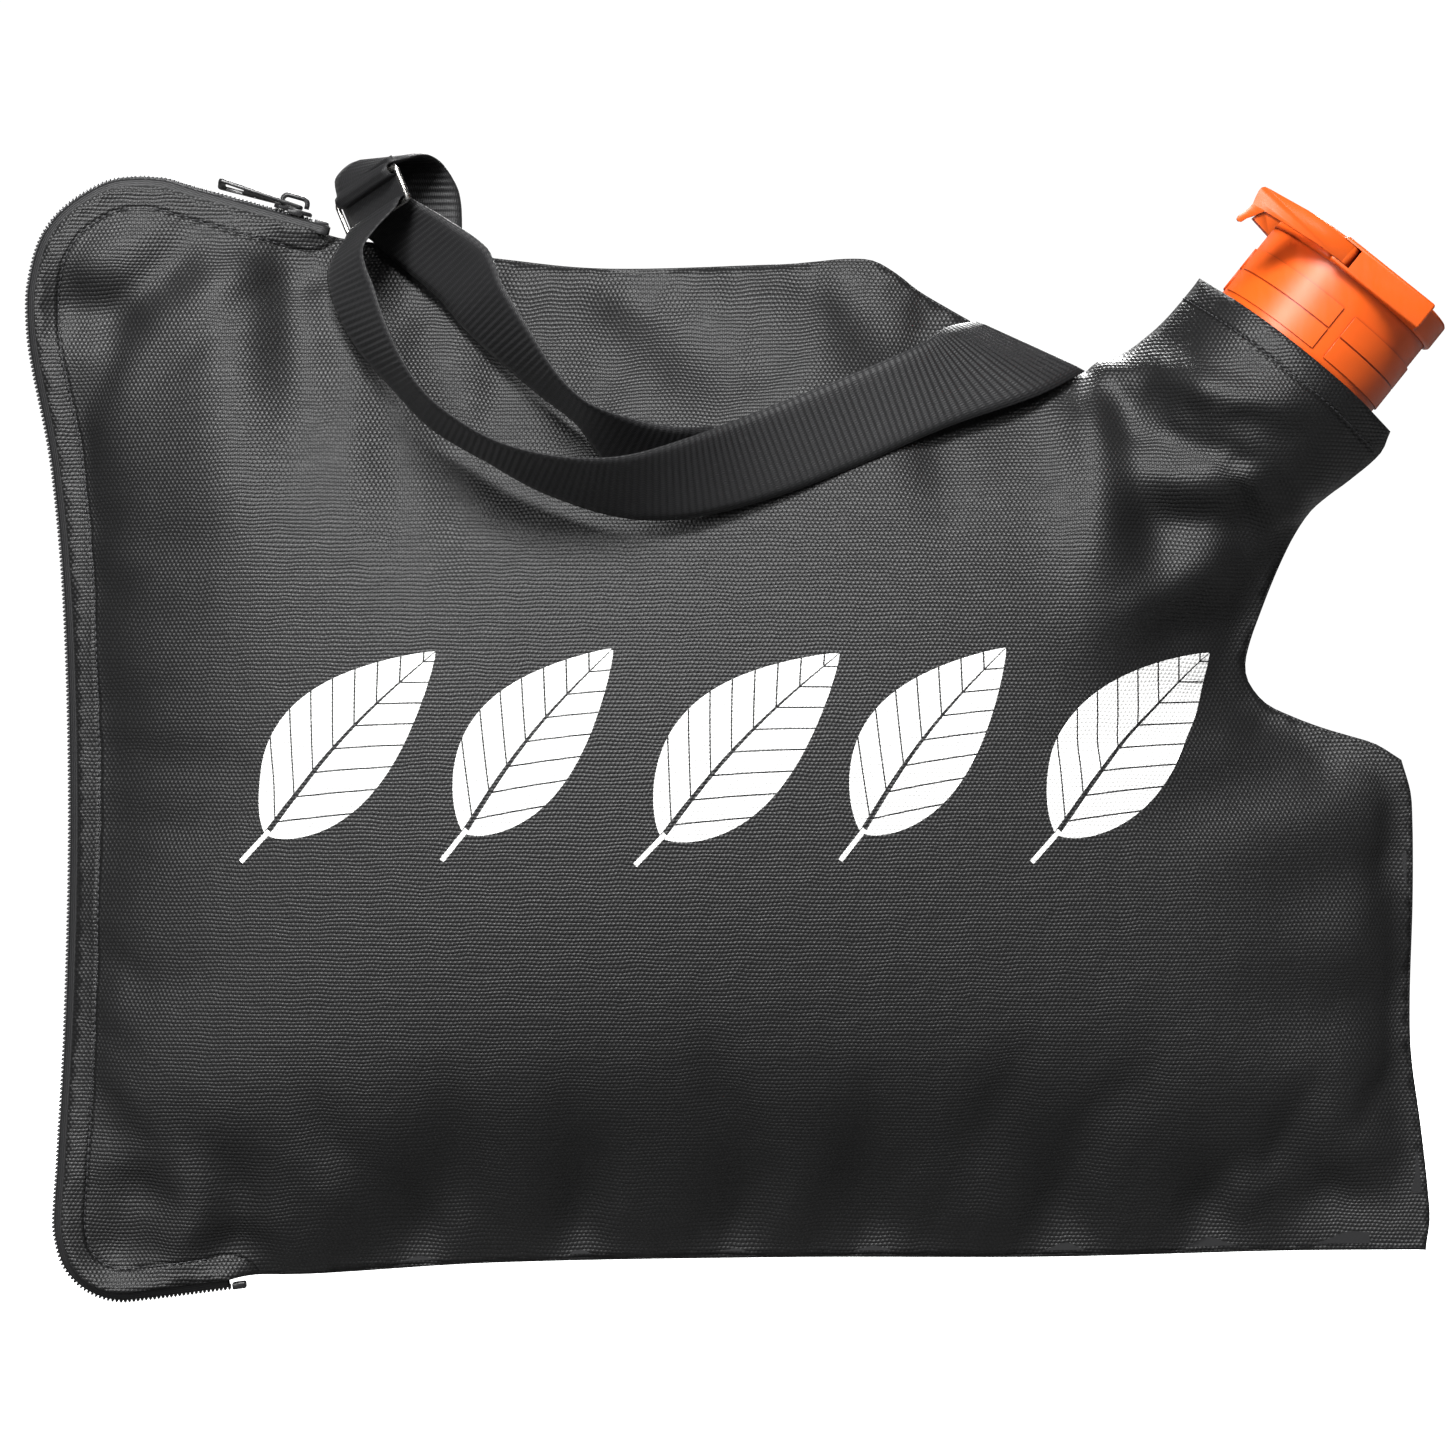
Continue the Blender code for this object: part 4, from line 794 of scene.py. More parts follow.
def printed_mask(look, uv):
    u, v = look.parts(uv)[:2]
    group = leaf_group()
    mask = None
    for x, z, angle, size, half in PRINTED_LEAVES:
        node = look.tree.nodes.new("ShaderNodeGroup")
        node.node_tree = group
        for key, value in (
            ("U", u), ("V", v), ("X", x), ("Z", z), ("Angle", math.radians(angle)), ("Length", size),
            ("Half width", half),
        ):
            look.link(value, node.inputs[key])
        mask = node.outputs[0] if mask is None else look.math("MAXIMUM", mask, node.outputs[0])
    return mask


def cloth_look(name, settings, printed):
    look = Look(name, 0.5, Sheen_Weight=0.02, Sheen_Roughness=0.4, Specular_IOR_Level=0.50)
    uv = look.place.outputs["UV"]
    height, cross = weave_height(look, uv, settings.weave)
    solid = look.place.outputs["Object"]
    patches = look.noise(solid, 9.0, 3.0)
    dust = look.noise(solid, 55.0, 4.0, 0.7)
    # Painted highlight: the raised tops of the weave take the lighter thread highlight colour.
    thread = look.spread(height, 0.25, 1.05, 0.0, 1.0)
    base = look.mix(thread, tuple(settings.dark), tuple(settings.light))
    base = look.mix(look.spread(patches, 0.35, 0.75, 0.0, 0.25), base, (0.004, 0.004, 0.0044))
    base = look.mix(look.spread(dust, 0.64, 0.84, 0.0, 0.05), base, (0.08, 0.078, 0.075))
    line, double = sewn_lines(look)
    # Painted shade: the cloth is coloured near black along the pressed-in stitch grooves.
    base = look.mix(look.math("MULTIPLY", line, 0.75), base, (0.001, 0.001, 0.001))
    rough = look.spread(height, 0.1, 1.1, 0.60, 0.43)
    normal = look.bump(height, 0.00042, 0.85)
    normal = look.bump(look.math("SUBTRACT", double, look.math("MULTIPLY", line, 0.9)), 0.0006, 0.8, normal)
    if printed:
        mask = printed_mask(look, uv)
        worn = look.spread(look.noise(uv, 900.0, 3.0, 0.6), 0.28, 0.36, 0.0, 1.0)
        ink = look.math("MULTIPLY", mask, look.spread(worn, 0.0, 1.0, 0.90, 1.0))
        shade = look.mix(look.spread(cross, -1.0, 1.0, 0.0, 0.14), tuple(settings.print_ink), (0.62, 0.62, 0.62))
        base = look.mix(ink, base, shade)
        rough = look.spread(mask, 0.0, 1.0, rough, 0.50)
        normal = look.bump(mask, 0.00012, 0.6, normal)
    look.set(Base_Color=base, Roughness=rough, Normal=normal)
    return look.material


def webbing_look(name, shade):
    look = Look(name, 0.50, Sheen_Weight=0.04, Sheen_Roughness=0.4, Specular_IOR_Level=0.42)
    uv = look.place.outputs["UV"]
    across, along = look.parts(uv)[:2]
    twill = look.math("SINE", look.math("ADD", look.math("MULTIPLY", across, 5200), look.math("MULTIPLY", along, 2027)))
    yarn = look.math("SINE", look.math("MULTIPLY", across, 6400))
    fibre = look.noise(look.mapping(uv, (2600, 420, 1)), 1.0, 3.0)
    height = look.math("ADD", look.math("MULTIPLY", yarn, 0.30), look.math("MULTIPLY", fibre, 0.8))
    height = look.math("ADD", height, look.math("MULTIPLY", twill, 0.16))
    # Painted highlight: the raised yarns and ribs are coloured up to five and a half times lighter than the thread.
    light = tuple(min(1.0, c * 5.5) for c in shade)
    base = look.mix(look.spread(height, 0.0, 1.1, 0.0, 1.0), tuple(shade), light)
    fuzz = look.noise(look.place.outputs["Object"], 160.0, 4.0, 0.7)
    base = look.mix(look.spread(fuzz, 0.62, 0.8, 0.0, 0.15), base, (0.09, 0.09, 0.09))
    look.set(
        Base_Color=base, Roughness=look.spread(height, 0.0, 1.1, 0.66, 0.44),
        Normal=look.bump(height, 0.00016, 0.7),
    )
    return look.material


def thread_look(name, shade):
    look = Look(name, 0.5, Sheen_Weight=0.05, Sheen_Roughness=0.4)
    where = look.place.outputs["Object"]
    twist = look.noise(look.mapping(where, (1, 1, 1)), 2600.0, 2.0)
    look.set(
        Base_Color=look.mix(twist, tuple(shade), tuple(c * 3.2 for c in shade)),
        Roughness=look.spread(twist, 0.3, 0.7, 0.42, 0.65), Normal=look.bump(twist, 0.00012, 0.5),
    )
    return look.material


def nylon_look(name, shade):
    look = Look(name, 0.34, Specular_IOR_Level=0.5)
    where = look.place.outputs["Object"]
    grain = look.noise(where, 900.0, 3.0)
    look.set(
        Base_Color=look.mix(grain, tuple(shade), tuple(c * 2.4 for c in shade)),
        Roughness=look.spread(grain, 0.3, 0.7, 0.28, 0.46), Normal=look.bump(grain, 0.00005, 0.4),
    )
    return look.material


def edge_wear(look, radius):
    """1 on the sharp edges that rub, from the difference between the plain and the rounded normal."""
    plain = look.tree.nodes.new("ShaderNodeNewGeometry")
    rounded = look.tree.nodes.new("ShaderNodeBevel")
    rounded.samples = 4
    rounded.inputs["Radius"].default_value = radius
    dot = look.tree.nodes.new("ShaderNodeVectorMath")
    dot.operation = "DOT_PRODUCT"
    look.tree.links.new(plain.outputs["Normal"], dot.inputs[0])
    look.tree.links.new(rounded.outputs[0], dot.inputs[1])
    return look.spread(dot.outputs["Value"], 0.97, 0.80, 0.0, 1.0)


def enamel_look(name, shade):
    look = Look(name, 0.28, Specular_IOR_Level=0.5)
    where = look.place.outputs["Object"]
    chips = look.noise(where, 700.0, 4.0, 0.65)
    wear = look.math("MULTIPLY", edge_wear(look, 0.0004), look.spread(chips, 0.40, 0.62, 0.0, 1.0), clamp=True)
    scratch = look.noise(look.mapping(where, (500, 3000, 3000)), 1.0, 2.0)
    look.set(
        Base_Color=look.mix(wear, tuple(shade), (0.45, 0.44, 0.42)), Metallic=look.math("MULTIPLY", wear, 0.9),
        Roughness=look.spread(scratch, 0.3, 0.7, 0.20, 0.42), Normal=look.bump(chips, 0.00003, 0.35),
    )
    return look.material


def steel_look(name):
    look = Look(name, 0.24, 1.0)
    where = look.place.outputs["Object"]
    drawn = look.noise(look.mapping(where, (900, 1400, 1400)), 1.0, 3.0)
    tarnish = look.noise(where, 160.0, 4.0, 0.6)
    look.set(
        Base_Color=look.mix(look.spread(tarnish, 0.45, 0.75, 0.0, 0.6), (0.74, 0.73, 0.70), (0.36, 0.33, 0.29)),
        Roughness=look.spread(drawn, 0.3, 0.7, 0.14, 0.36), Normal=look.bump(drawn, 0.00002, 0.4),
    )
    return look.material


def plastic_look(name, shade):
    look = Look(name, 0.36, Specular_IOR_Level=0.5)
    where = look.place.outputs["Object"]
    flow = look.noise(look.mapping(where, (20, 20, 42)), 1.0, 3.0)
    grain = look.noise(where, 1500.0, 3.0, 0.6)
    rub = look.noise(look.mapping(where, (260, 40, 40)), 1.0, 4.0, 0.7)
    pale = tuple(min(1.0, c * 1.06 + 0.045) for c in shade)
    deep = tuple(c * 0.86 for c in shade)
    base = look.mix(look.spread(flow, 0.3, 0.7, 0.0, 1.0), deep, tuple(shade))
    wear = look.math("MULTIPLY", edge_wear(look, 0.0006), look.spread(rub, 0.40, 0.70, 0.0, 0.7), clamp=True)
    base = look.mix(wear, base, pale)
    # Painted shade: ambient occlusion turns the colour dark red-brown in crevices and recesses.
    painted_crevice_shade = look.tree.nodes.new("ShaderNodeAmbientOcclusion")
    painted_crevice_shade.inputs["Distance"].default_value = 0.0025
    base = look.mix(look.spread(painted_crevice_shade.outputs["AO"], 0.35, 0.95, 0.75, 0.0), base, (0.16, 0.008, 0.001))
    fine = look.math("ADD", grain, look.math("MULTIPLY", rub, 0.5))
    look.set(
        Base_Color=base, Roughness=look.spread(rub, 0.3, 0.75, 0.30, 0.46), Normal=look.bump(fine, 0.00004, 0.35),
    )
    return look.material


def floor_look(name, shade):
    """Pale floor, kept evenly white to the camera by a painted glow that only camera rays see, and dark to bounced
    light; the glow dims softly as a painted contact shadow where something stands close above it.
    """
    look = Look(name, 0.9)
    nodes, links = look.tree.nodes, look.tree.links
    path = nodes.new("ShaderNodeLightPath").outputs["Is Camera Ray"]
    mottle = look.noise(look.place.outputs["Object"], 2.0, 2.0)
    base = look.mix(look.spread(mottle, 0.3, 0.7, 0.0, 1.0), tuple(shade), tuple(c * 0.985 for c in shade))
    look.set(Base_Color=look.mix(path, (0.10, 0.10, 0.10), base))
    # Painted glow seen by camera rays only, dimmed by ambient occlusion into a painted contact shadow under things
    # close above.
    near = nodes.new("ShaderNodeAmbientOcclusion")
    near.inputs["Distance"].default_value = 0.14
    glow = nodes.new("ShaderNodeEmission")
    look.link(look.math("MULTIPLY", path, look.spread(near.outputs["AO"], 0.2, 1.0, 0.72, 1.0)), glow.inputs["Strength"])
    both = nodes.new("ShaderNodeAddShader")
    links.new(look.shader.outputs[0], both.inputs[0])
    links.new(glow.outputs[0], both.inputs[1])
    links.new(both.outputs[0], nodes["Material Output"].inputs["Surface"])
    return look.material


def room_light(settings):
    """A white room that lights the bag only a little, and mostly from above."""
    world = bpy.data.worlds.new("studio_room")
    bpy.context.scene.world = world
    world.use_nodes = True
    nodes, links = world.node_tree.nodes, world.node_tree.links
    seen = nodes["Background"]
    seen.inputs["Color"].default_value = (1, 1, 1, 1)
    seen.inputs["Strength"].default_value = 1.05
    lit = nodes.new("ShaderNodeBackground")
    place = nodes.new("ShaderNodeTexCoord")
    split = nodes.new("ShaderNodeSeparateXYZ")
    links.new(place.outputs["Generated"], split.inputs[0])
    shade = nodes.new("ShaderNodeMapRange")
    for key, value in (("From Min", -0.3), ("From Max", 1.0), ("To Min", 0.005), ("To Max", 0.10)):
        shade.inputs[key].default_value = value
    links.new(split.outputs["Z"], shade.inputs["Value"])
    links.new(shade.outputs[0], lit.inputs["Strength"])
    path = nodes.new("ShaderNodeLightPath")
    pick = nodes.new("ShaderNodeMixShader")
    links.new(path.outputs["Is Camera Ray"], pick.inputs["Fac"])
    links.new(lit.outputs[0], pick.inputs[1])
    links.new(seen.outputs[0], pick.inputs[2])
    links.new(pick.outputs[0], nodes["World Output"].inputs["Surface"])


LOOKS = {}


def finish_of(slot):
    """The material of one of the record's slots, made once."""
    if slot not in LOOKS:
        scene = bpy.context.scene
        makers = {
            "bag_fabric": lambda: cloth_look("woven_polyester", scene.leaf_bag_cloth, False),
            "printed_fabric": lambda: cloth_look("printed_polyester", scene.leaf_bag_cloth, True),
            "binding_tape": lambda: webbing_look("binding_tape_weave", scene.leaf_bag_strap.thread),
            "zip_tape": lambda: webbing_look("zip_tape_weave", scene.leaf_bag_strap.thread),
            "webbing": lambda: webbing_look("ribbed_webbing", scene.leaf_bag_strap.thread),
            "thread": lambda: thread_look("sewing_thread", scene.leaf_bag_stitches.ink),
            "zip_coil": lambda: nylon_look("nylon_coil", scene.leaf_bag_zip.coil),
            "zip_metal": lambda: enamel_look("black_enamel", scene.leaf_bag_zip.enamel),
            "connector_plastic": lambda: plastic_look("orange_plastic", scene.leaf_bag_connector.plastic),
            "pin_steel": lambda: steel_look("pin_steel_drawn"),
            "slide_steel": lambda: steel_look("plated_wire"),
        }
        LOOKS[slot] = makers[slot]()
    return LOOKS[slot]


def finish_piece(item, slot, body=BODY, look=None):
    item.data.materials.clear()
    item.data.materials.append(finish_of(look or slot))
    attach(item, body)
    return item


# Cloth

class Panel:
    """One cloth panel: its flat outline, where each stretch of it is sewn, and its filled form."""

    def __init__(self, node, side):
        self.side = side
        inner, outer = skins(node)
        self.form = BVHTree.FromPolygons(
            [p for face in outer[0] for p in face], [(3 * k, 3 * k + 1, 3 * k + 2) for k in range(len(outer[0]))]
        )
        rim = np.array(inner[1])
        if (np.roll(rim[:, 0], -1) * rim[:, 2] - rim[:, 0] * np.roll(rim[:, 2], -1)).sum() > 0:
            rim = rim[::-1]
        self.rim = rim
        flat = rim[:, (0, 2)]
        corners = corner_split(flat, math.radians(38))
        flat = np.roll(flat, -corners[0], axis=0)
        height = np.roll(np.abs(rim[:, 1]), -corners[0])
        corners = [k - corners[0] for k in corners] + [len(flat)]
        rows = []
        for a, b in zip(corners, corners[1:]):
            stretch = np.array([flat[k % len(flat)] for k in range(a, b + 1)])
            tall = np.array([height[k % len(flat)] for k in range(a, b + 1)])
            fine = smooth(stretch, 0.004)
            share = travel(stretch) / travel(stretch)[-1]
            fine_share = travel(fine) / travel(fine)[-1]
            rows.append(np.column_stack([fine, np.interp(fine_share, share, tall)])[:-1])
        self.outline = np.concatenate(rows)

    def height(self, x, z):
        """How far the filled form stands in front of the middle plane."""
        hit = self.form.ray_cast(Vector((x, self.side, z)), Vector((0, -self.side, 0)))
        if hit[0] is None:
            hit = self.form.find_nearest(Vector((x, 0, z)))
        return abs(hit[0].y)


def hex_points(low, high, step):
    rows = np.arange(low[1], high[1], step * 0.866)
    made = []
    for k, z in enumerate(rows):
        x = np.arange(low[0] + (k % 2) * step / 2, high[0], step)
        made.append(np.column_stack([x, np.full(len(x), z)]))
    return np.concatenate(made)


def edge_distance(points, outline):
    nearest = np.full(len(points), np.inf)
    for a, b in zip(outline, np.roll(outline, -1, axis=0)):
        along = b - a
        share = np.clip((points - a) @ along / (along @ along), 0, 1)
        nearest = np.minimum(nearest, np.linalg.norm(points - a - share[:, None] * along, axis=1))
    return nearest


def inside(points, outline):
    held = np.zeros(len(points), bool)
    for a, b in zip(outline, np.roll(outline, -1, axis=0)):
        spans = (a[1] > points[:, 1]) != (b[1] > points[:, 1])
        if a[1] != b[1]:
            held ^= spans & (points[:, 0] < a[0] + (points[:, 1] - a[1]) * (b[0] - a[0]) / (b[1] - a[1]))
    return held


def connector_coordinates(points):
    """Distance across and down the connector's axis of points given in X and Z."""
    axis = next(j for j in frame["joints"] if j["name"] == "latch_hinge")["axis"]
    points = np.asarray(points)
    across = points[:, 0] * axis[2] - points[:, 1] * axis[0]
    down = -(points[:, 0] * axis[0] + points[:, 1] * axis[2])
    return across, down


def grown_outline(outline, distance):
    """The outline moved outwards by a distance, evenly along its own normals."""
    flat = outline[:, :2]
    along = np.roll(flat, -1, axis=0) - np.roll(flat, 1, axis=0)
    along /= np.linalg.norm(along, axis=1)[:, None]
    out = np.stack([-along[:, 1], along[:, 0]], axis=1)
    if (np.roll(flat[:, 0], -1) * flat[:, 1] - flat[:, 0] * np.roll(flat[:, 1], -1)).sum() > 0:
        out = -out
    return flat + out * distance


def sag(x, z, folds):
    """Depth of the pressed folds at a place."""
    total = np.zeros(len(x))
    for (x0, z0), (x1, z1), width, depth in folds:
        d = np.array((x1 - x0, z1 - z0))
        size = np.linalg.norm(d)
        d = d / size
        along = (x - x0) * d[0] + (z - z0) * d[1]
        across = -(x - x0) * d[1] + (z - z0) * d[0]
        t = along / size
        before = np.clip(-t * size / width, 0, None)
        after = np.clip((t - 0.6) * size / (width + size * 0.35), 0, None)
        taper = np.exp(-(before**2) - after**2)
        total += depth * taper * np.exp(-((across / (width * (0.8 + 0.5 * np.clip(t, 0, 1)))) ** 2))
    return total


def cloth_mesh(panel, settings):
    """The panel's filled form as an even mesh, its UV in metres on the flat cloth."""
    rim = panel.outline
    flat = grown_outline(rim, 0.0006)
    points = hex_points(flat.min(axis=0), flat.max(axis=0), settings.step)
    keep = inside(points, flat) & (edge_distance(points, flat) > settings.step * 0.55)
    points = np.concatenate([flat, points[keep]])
    ring = list(range(len(flat)))
    verts, _, faces, _, _, _ = delaunay_2d_cdt(
        [Vector(p) for p in points], list(zip(ring, ring[1:] + ring[:1])), [ring], 1, 1e-7
    )
    flat_points = np.array([tuple(v) for v in verts])
    heights = np.array([panel.height(x, z) for x, z in flat_points])
    count = len(flat)
    heights[:count] = np.maximum(rim[:, 2], 0.0002) + np.where(rim[:, 2] > 0.004, 0.0009, 0.0)
    co = np.column_stack([flat_points[:, 0], panel.side * heights, flat_points[:, 1]])
    faces = np.array([tuple(f) for f in faces])
    corners = co[faces]
    facing = np.cross(corners[:, 1] - corners[:, 0], corners[:, 2] - corners[:, 0])[:, 1] * panel.side
    faces[facing < 0] = faces[facing < 0][:, ::-1]
    return co, faces, flat_points, count


def edges_of(faces):
    return np.unique(np.sort(faces[:, [[0, 1], [1, 2], [2, 0]]].reshape(-1, 2), axis=1), axis=0)


def relaxed(values, edges, free, rounds):
    """Values evened out over the mesh, where they are free to move."""
    degree = np.bincount(edges.ravel(), minlength=len(values)).astype(float)
    values = values.copy()
    for _ in range(rounds):
        total = np.bincount(edges[:, 0], values[edges[:, 1]], len(values))
        total += np.bincount(edges[:, 1], values[edges[:, 0]], len(values))
        values = np.where(free, 0.5 * values + 0.5 * total / degree, values)
    return values


def coordinates(mesh):
    co = np.zeros(len(mesh.vertices) * 3, np.float32)
    mesh.vertices.foreach_get("co", co)
    return co.reshape(-1, 3).astype(float)


def fill_cloth(co, faces, held, settings):
    """Air fills the slack cloth between its held points."""
    mesh = bpy.data.meshes.new("slack_cloth")
    mesh.from_pydata(co.tolist(), [], faces.tolist())
    item = new_object("slack_cloth", mesh)
    group = item.vertex_groups.new(name="sewn")
    for k, weight in enumerate(held):
        if weight > 0.01:
            group.add([k], float(weight), "REPLACE")
    step = item.modifiers.new("cloth", "CLOTH")
    cloth = step.settings
    cloth.quality = 6
    cloth.mass = 0.18
    cloth.tension_stiffness = 22
    cloth.compression_stiffness = 18
    cloth.shear_stiffness = 8
    cloth.bending_stiffness = 1.6
    cloth.tension_damping = 12
    cloth.compression_damping = 12
    cloth.air_damping = 2.5
    cloth.vertex_group_mass = "sewn"
    cloth.pin_stiffness = 4
    cloth.use_pressure = True
    cloth.uniform_pressure_force = settings.pressure
    cloth.shrink_min = -settings.slack
    cloth.effector_weights.gravity = 0.0
    step.collision_settings.use_collision = False
    step.collision_settings.use_self_collision = False
    scene = bpy.context.scene
    scene.frame_start = 1
    scene.frame_end = settings.frames
    step.point_cache.frame_start = 1
    step.point_cache.frame_end = settings.frames
    for k in range(1, settings.frames + 1):
        scene.frame_set(k)
    evaluated = item.evaluated_get(bpy.context.evaluated_depsgraph_get())
    moved = coordinates(evaluated.data)
    item.modifiers.clear()
    bpy.data.objects.remove(item)
    scene.frame_set(1)
    return moved


def clear_of_strap(co, side):
    """Front cloth is pressed back where the webbing lies on it."""
    near, far = rails_of("shoulder_strap", strap_start)
    rows = [*near, *far]
    count = len(near)
    faces = [(k, k + 1, count + k + 1, count + k) for k in range(count - 1)]
    strap = BVHTree.FromPolygons([Vector(p) for p in rows], faces)
    for k, (x, y, z) in enumerate(co):
        hit = strap.ray_cast(Vector((x, 0.0, z)), Vector((0, side, 0)))
        if hit[0] is not None:
            nearest = abs(hit[0].y) - 0.0024
            if abs(y) > nearest:
                co[k, 1] = side * nearest
    return co


def make_cloth(name, node, side, folds, look):
    settings = bpy.context.scene.leaf_bag_cloth
    panel = Panel(node, side)
    co, faces, flat, rim_count = cloth_mesh(panel, settings)
    edges = edges_of(faces)
    across, down = connector_coordinates(flat)
    on_rim = np.arange(len(co)) < rim_count
    sleeve = (down < SLEEVE_FOOT) & (np.abs(across) < SLEEVE_HALF)
    free = ~on_rim & ~sleeve
    full = np.abs(co[:, 1])
    even_height = relaxed(full, edges, free, 26)
    gain = np.clip(full.max() / even_height.max(), 1, 1.1)
    co[:, 1] = side * np.where(free, even_height * gain, full)
    from_rim = edge_distance(flat, panel.outline[:, :2])
    held = np.clip((SLEEVE_FOOT - down) / 0.02, 0, 1) * (np.abs(across) < SLEEVE_HALF)
    shift = fill_cloth(co, faces, np.where(on_rim, 1.0, held), settings) - co
    size = np.linalg.norm(shift, axis=1)
    shift *= (settings.reach * np.tanh(size / settings.reach) / np.maximum(size, 1e-9))[:, None]
    co = co + shift * np.clip(from_rim / 0.004, 0, 1)[:, None]
    depth = sag(co[:, 0], co[:, 2], folds)
    depth *= np.clip((from_rim - 0.001) / 0.012, 0, 1)
    depth *= FOLD_GAIN
    room = np.clip((down - TUBE_FOOT) / 0.02, 0, 1) * 0.012 + np.where(np.abs(across) < SLEEVE_HALF, 0.0004, 0.012)
    depth = np.clip(depth, -0.008, room)
    co[:, 1] = side * np.maximum(side * co[:, 1] - depth, np.where(on_rim, 0.0002, 0.0008))
    if side < 0:
        co = clear_of_strap(co, side)
        co[:, 1] = np.where(free, relaxed(co[:, 1], edges, free, 2), co[:, 1])
    zipped = zipped_path()
    from_zip = np.min(np.linalg.norm(flat[:, None] - zipped[None], axis=2), axis=1) - ZIP_PROUD
    every, faces = subdivided(np.column_stack([co, flat, from_zip, down - down.min()]), faces)
    item = walled(
        name, every[:, :3], faces, every[:, 3:5], settings.thickness, zip_edge=every[:, 5], hem_edge=every[:, 6]
    )
    finish_piece(item, "bag_fabric", look=look)
    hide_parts(node)
    width, height = (flat.max(axis=0) - flat.min(axis=0)) * CUT_ALLOWANCE
    x, z = flat[:rim_count].T
    cut_area = abs((x * np.roll(z, -1) - z * np.roll(x, -1)).sum()) / 2 * CUT_ALLOWANCE**2
    return item, panel, (float(width), float(height)), float(cut_area)


CLOTHS = {}


class LEAFBAG_OT_cloth(bpy.types.Operator):
    """Cut, sew and fill the front and back cloth"""

    bl_idname = "leafbag.cloth"
    bl_label = "Cloth panels"

    def execute(self, context):
        for name, node, side, folds, look in (
            ("front_cloth", "front_panel", -1, FRONT_FOLDS, "printed_fabric"),
            ("back_cloth", "back_panel", 1, BACK_FOLDS, "bag_fabric"),
        ):
            item, panel, size, area = make_cloth(name, node, side, folds, look)
            CLOTHS[name] = (item, panel, [], size, area)
        return {"FINISHED"}


def on_cloth(item, points, side, lift):
    """Points in X and Z laid on a cloth, and the cloth's outward direction at each."""
    mesh = item.data
    tree = BVHTree.FromPolygons([v.co for v in mesh.vertices], [tuple(p.vertices) for p in mesh.polygons])
    made, normals = [], []
    for x, z in points:
        hit = tree.ray_cast(Vector((x, side, z)), Vector((0, -side, 0)))
        if hit[0] is None:
            hit = tree.find_nearest(Vector((x, side * 0.004, z)))
        normal = hit[1] if hit[1].y * side > 0 else -hit[1]
        made.append(hit[0] + normal * lift)
        normals.append(normal)
    return np.array(made), np.array(normals)


def zipped_path():
    """The coil's line in X and Z, from its upper end."""
    rings = stations("zip_coil_front", coil_start)
    path = np.array([ring.mean(axis=0) for ring in rings])[:, (0, 2)]
    return smooth(path, 0.003)


def aside(path, distance):
    """A flat path moved towards the bag's outside."""
    along = np.gradient(path, axis=0)
    along /= np.linalg.norm(along, axis=1)[:, None]
    return path + distance * np.stack([along[:, 1], -along[:, 0]], axis=1)


def hem_line(panel, inset):
    """A line across the neck, a distance below the hem, from seam to seam."""
    across, down = connector_coordinates(panel.outline[:, :2])
    hem = down.min()
    half = 0.0528 + inset * 0.06
    axis = next(j for j in frame["joints"] if j["name"] == "latch_hinge")["axis"]
    t = np.linspace(-half, half, 80)
    x = t * axis[2] - axis[0] * (hem + inset)
    z = -t * axis[0] - axis[2] * (hem + inset)
    return np.column_stack([x, z])


class LEAFBAG_OT_stitches(bpy.types.Operator):
    """Sew the stitch lines beside the zip and below the hem"""

    bl_idname = "leafbag.stitches"
    bl_label = "Stitching"

    def execute(self, context):
        settings = context.scene.leaf_bag_stitches
        thread = finish_of("thread")
        sizes = (settings.thread, settings.thread, settings.size / 2)
        zipped = zipped_path()
        for side, name in ((-1, "front"), (1, "back")):
            item, panel, sewn_on = CLOTHS[f"{name}_cloth"][:3]
            line = aside(zipped, -(settings.zip_inset + 0.003))[3:-3]
            path, _ = on_cloth(item, line, side, settings.thread * 0.35)
            zip_row = beads(f"zip_stitching_{name}", path, thread, settings.pitch, sizes)
            path, _ = on_cloth(item, hem_line(panel, settings.hem_inset), side, settings.thread * 0.35)
            hem_row = beads(f"hem_stitching_{name}", path, thread, settings.pitch, sizes)
            for row in (zip_row, hem_row):
                finish_piece(row, "bag_fabric", look="thread")
                sewn_on.append(row)
        return {"FINISHED"}


class LEAFBAG_OT_zip(bpy.types.Operator):
    """Wind the zip's coil and weave its tapes"""

    bl_idname = "leafbag.zip"
    bl_label = "Zip"

    def execute(self, context):
        settings = context.scene.leaf_bag_zip
        path = zipped_path()
        onwards = (path[0] - path[1]) / np.linalg.norm(path[0] - path[1])
        taped = np.concatenate([path[0] + onwards * np.array([[0.0085], [0.0055], [0.0025]]), path])
        low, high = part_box("zip_coil_back")
        row = (low.y + high.y) / 2
        radius = (high.y - low.y) / 2
        coil = finish_of("zip_coil")
        for side, name in ((-1, "front"), (1, "back")):
            line = np.column_stack([path[:, 0], np.full(len(path), side * (row - 0.0004)), path[:, 1]])
            start = 0.0002 if side < 0 else 0.0002 + settings.pitch / 2
            teeth = beads(
                f"zip_teeth_{name}", line, coil, settings.pitch,
                (radius, radius, settings.tooth), start, True,
            )
            finish_piece(teeth, "zip_coil")
            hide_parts(f"zip_coil_{name}")
            tape_low, tape_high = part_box(f"zip_tape_{name}")
            near_y, far_y = sorted((abs(tape_low.y), abs(tape_high.y)))
            inner = aside(taped, -0.0045)
            near = np.column_stack([taped[:, 0], np.full(len(taped), side * (near_y + 0.0004)), taped[:, 1]])
            far = np.column_stack([inner[:, 0], np.full(len(taped), side * (far_y - 0.0006)), inner[:, 1]])
            tape = strip(f"zip_tape_woven_{name}", near, far, 0.0007, 4)
            finish_piece(tape, "zip_tape")
            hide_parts(f"zip_tape_{name}")
            CLOTHS[f"{name}_cloth"][2].append(tape)
        return {"FINISHED"}


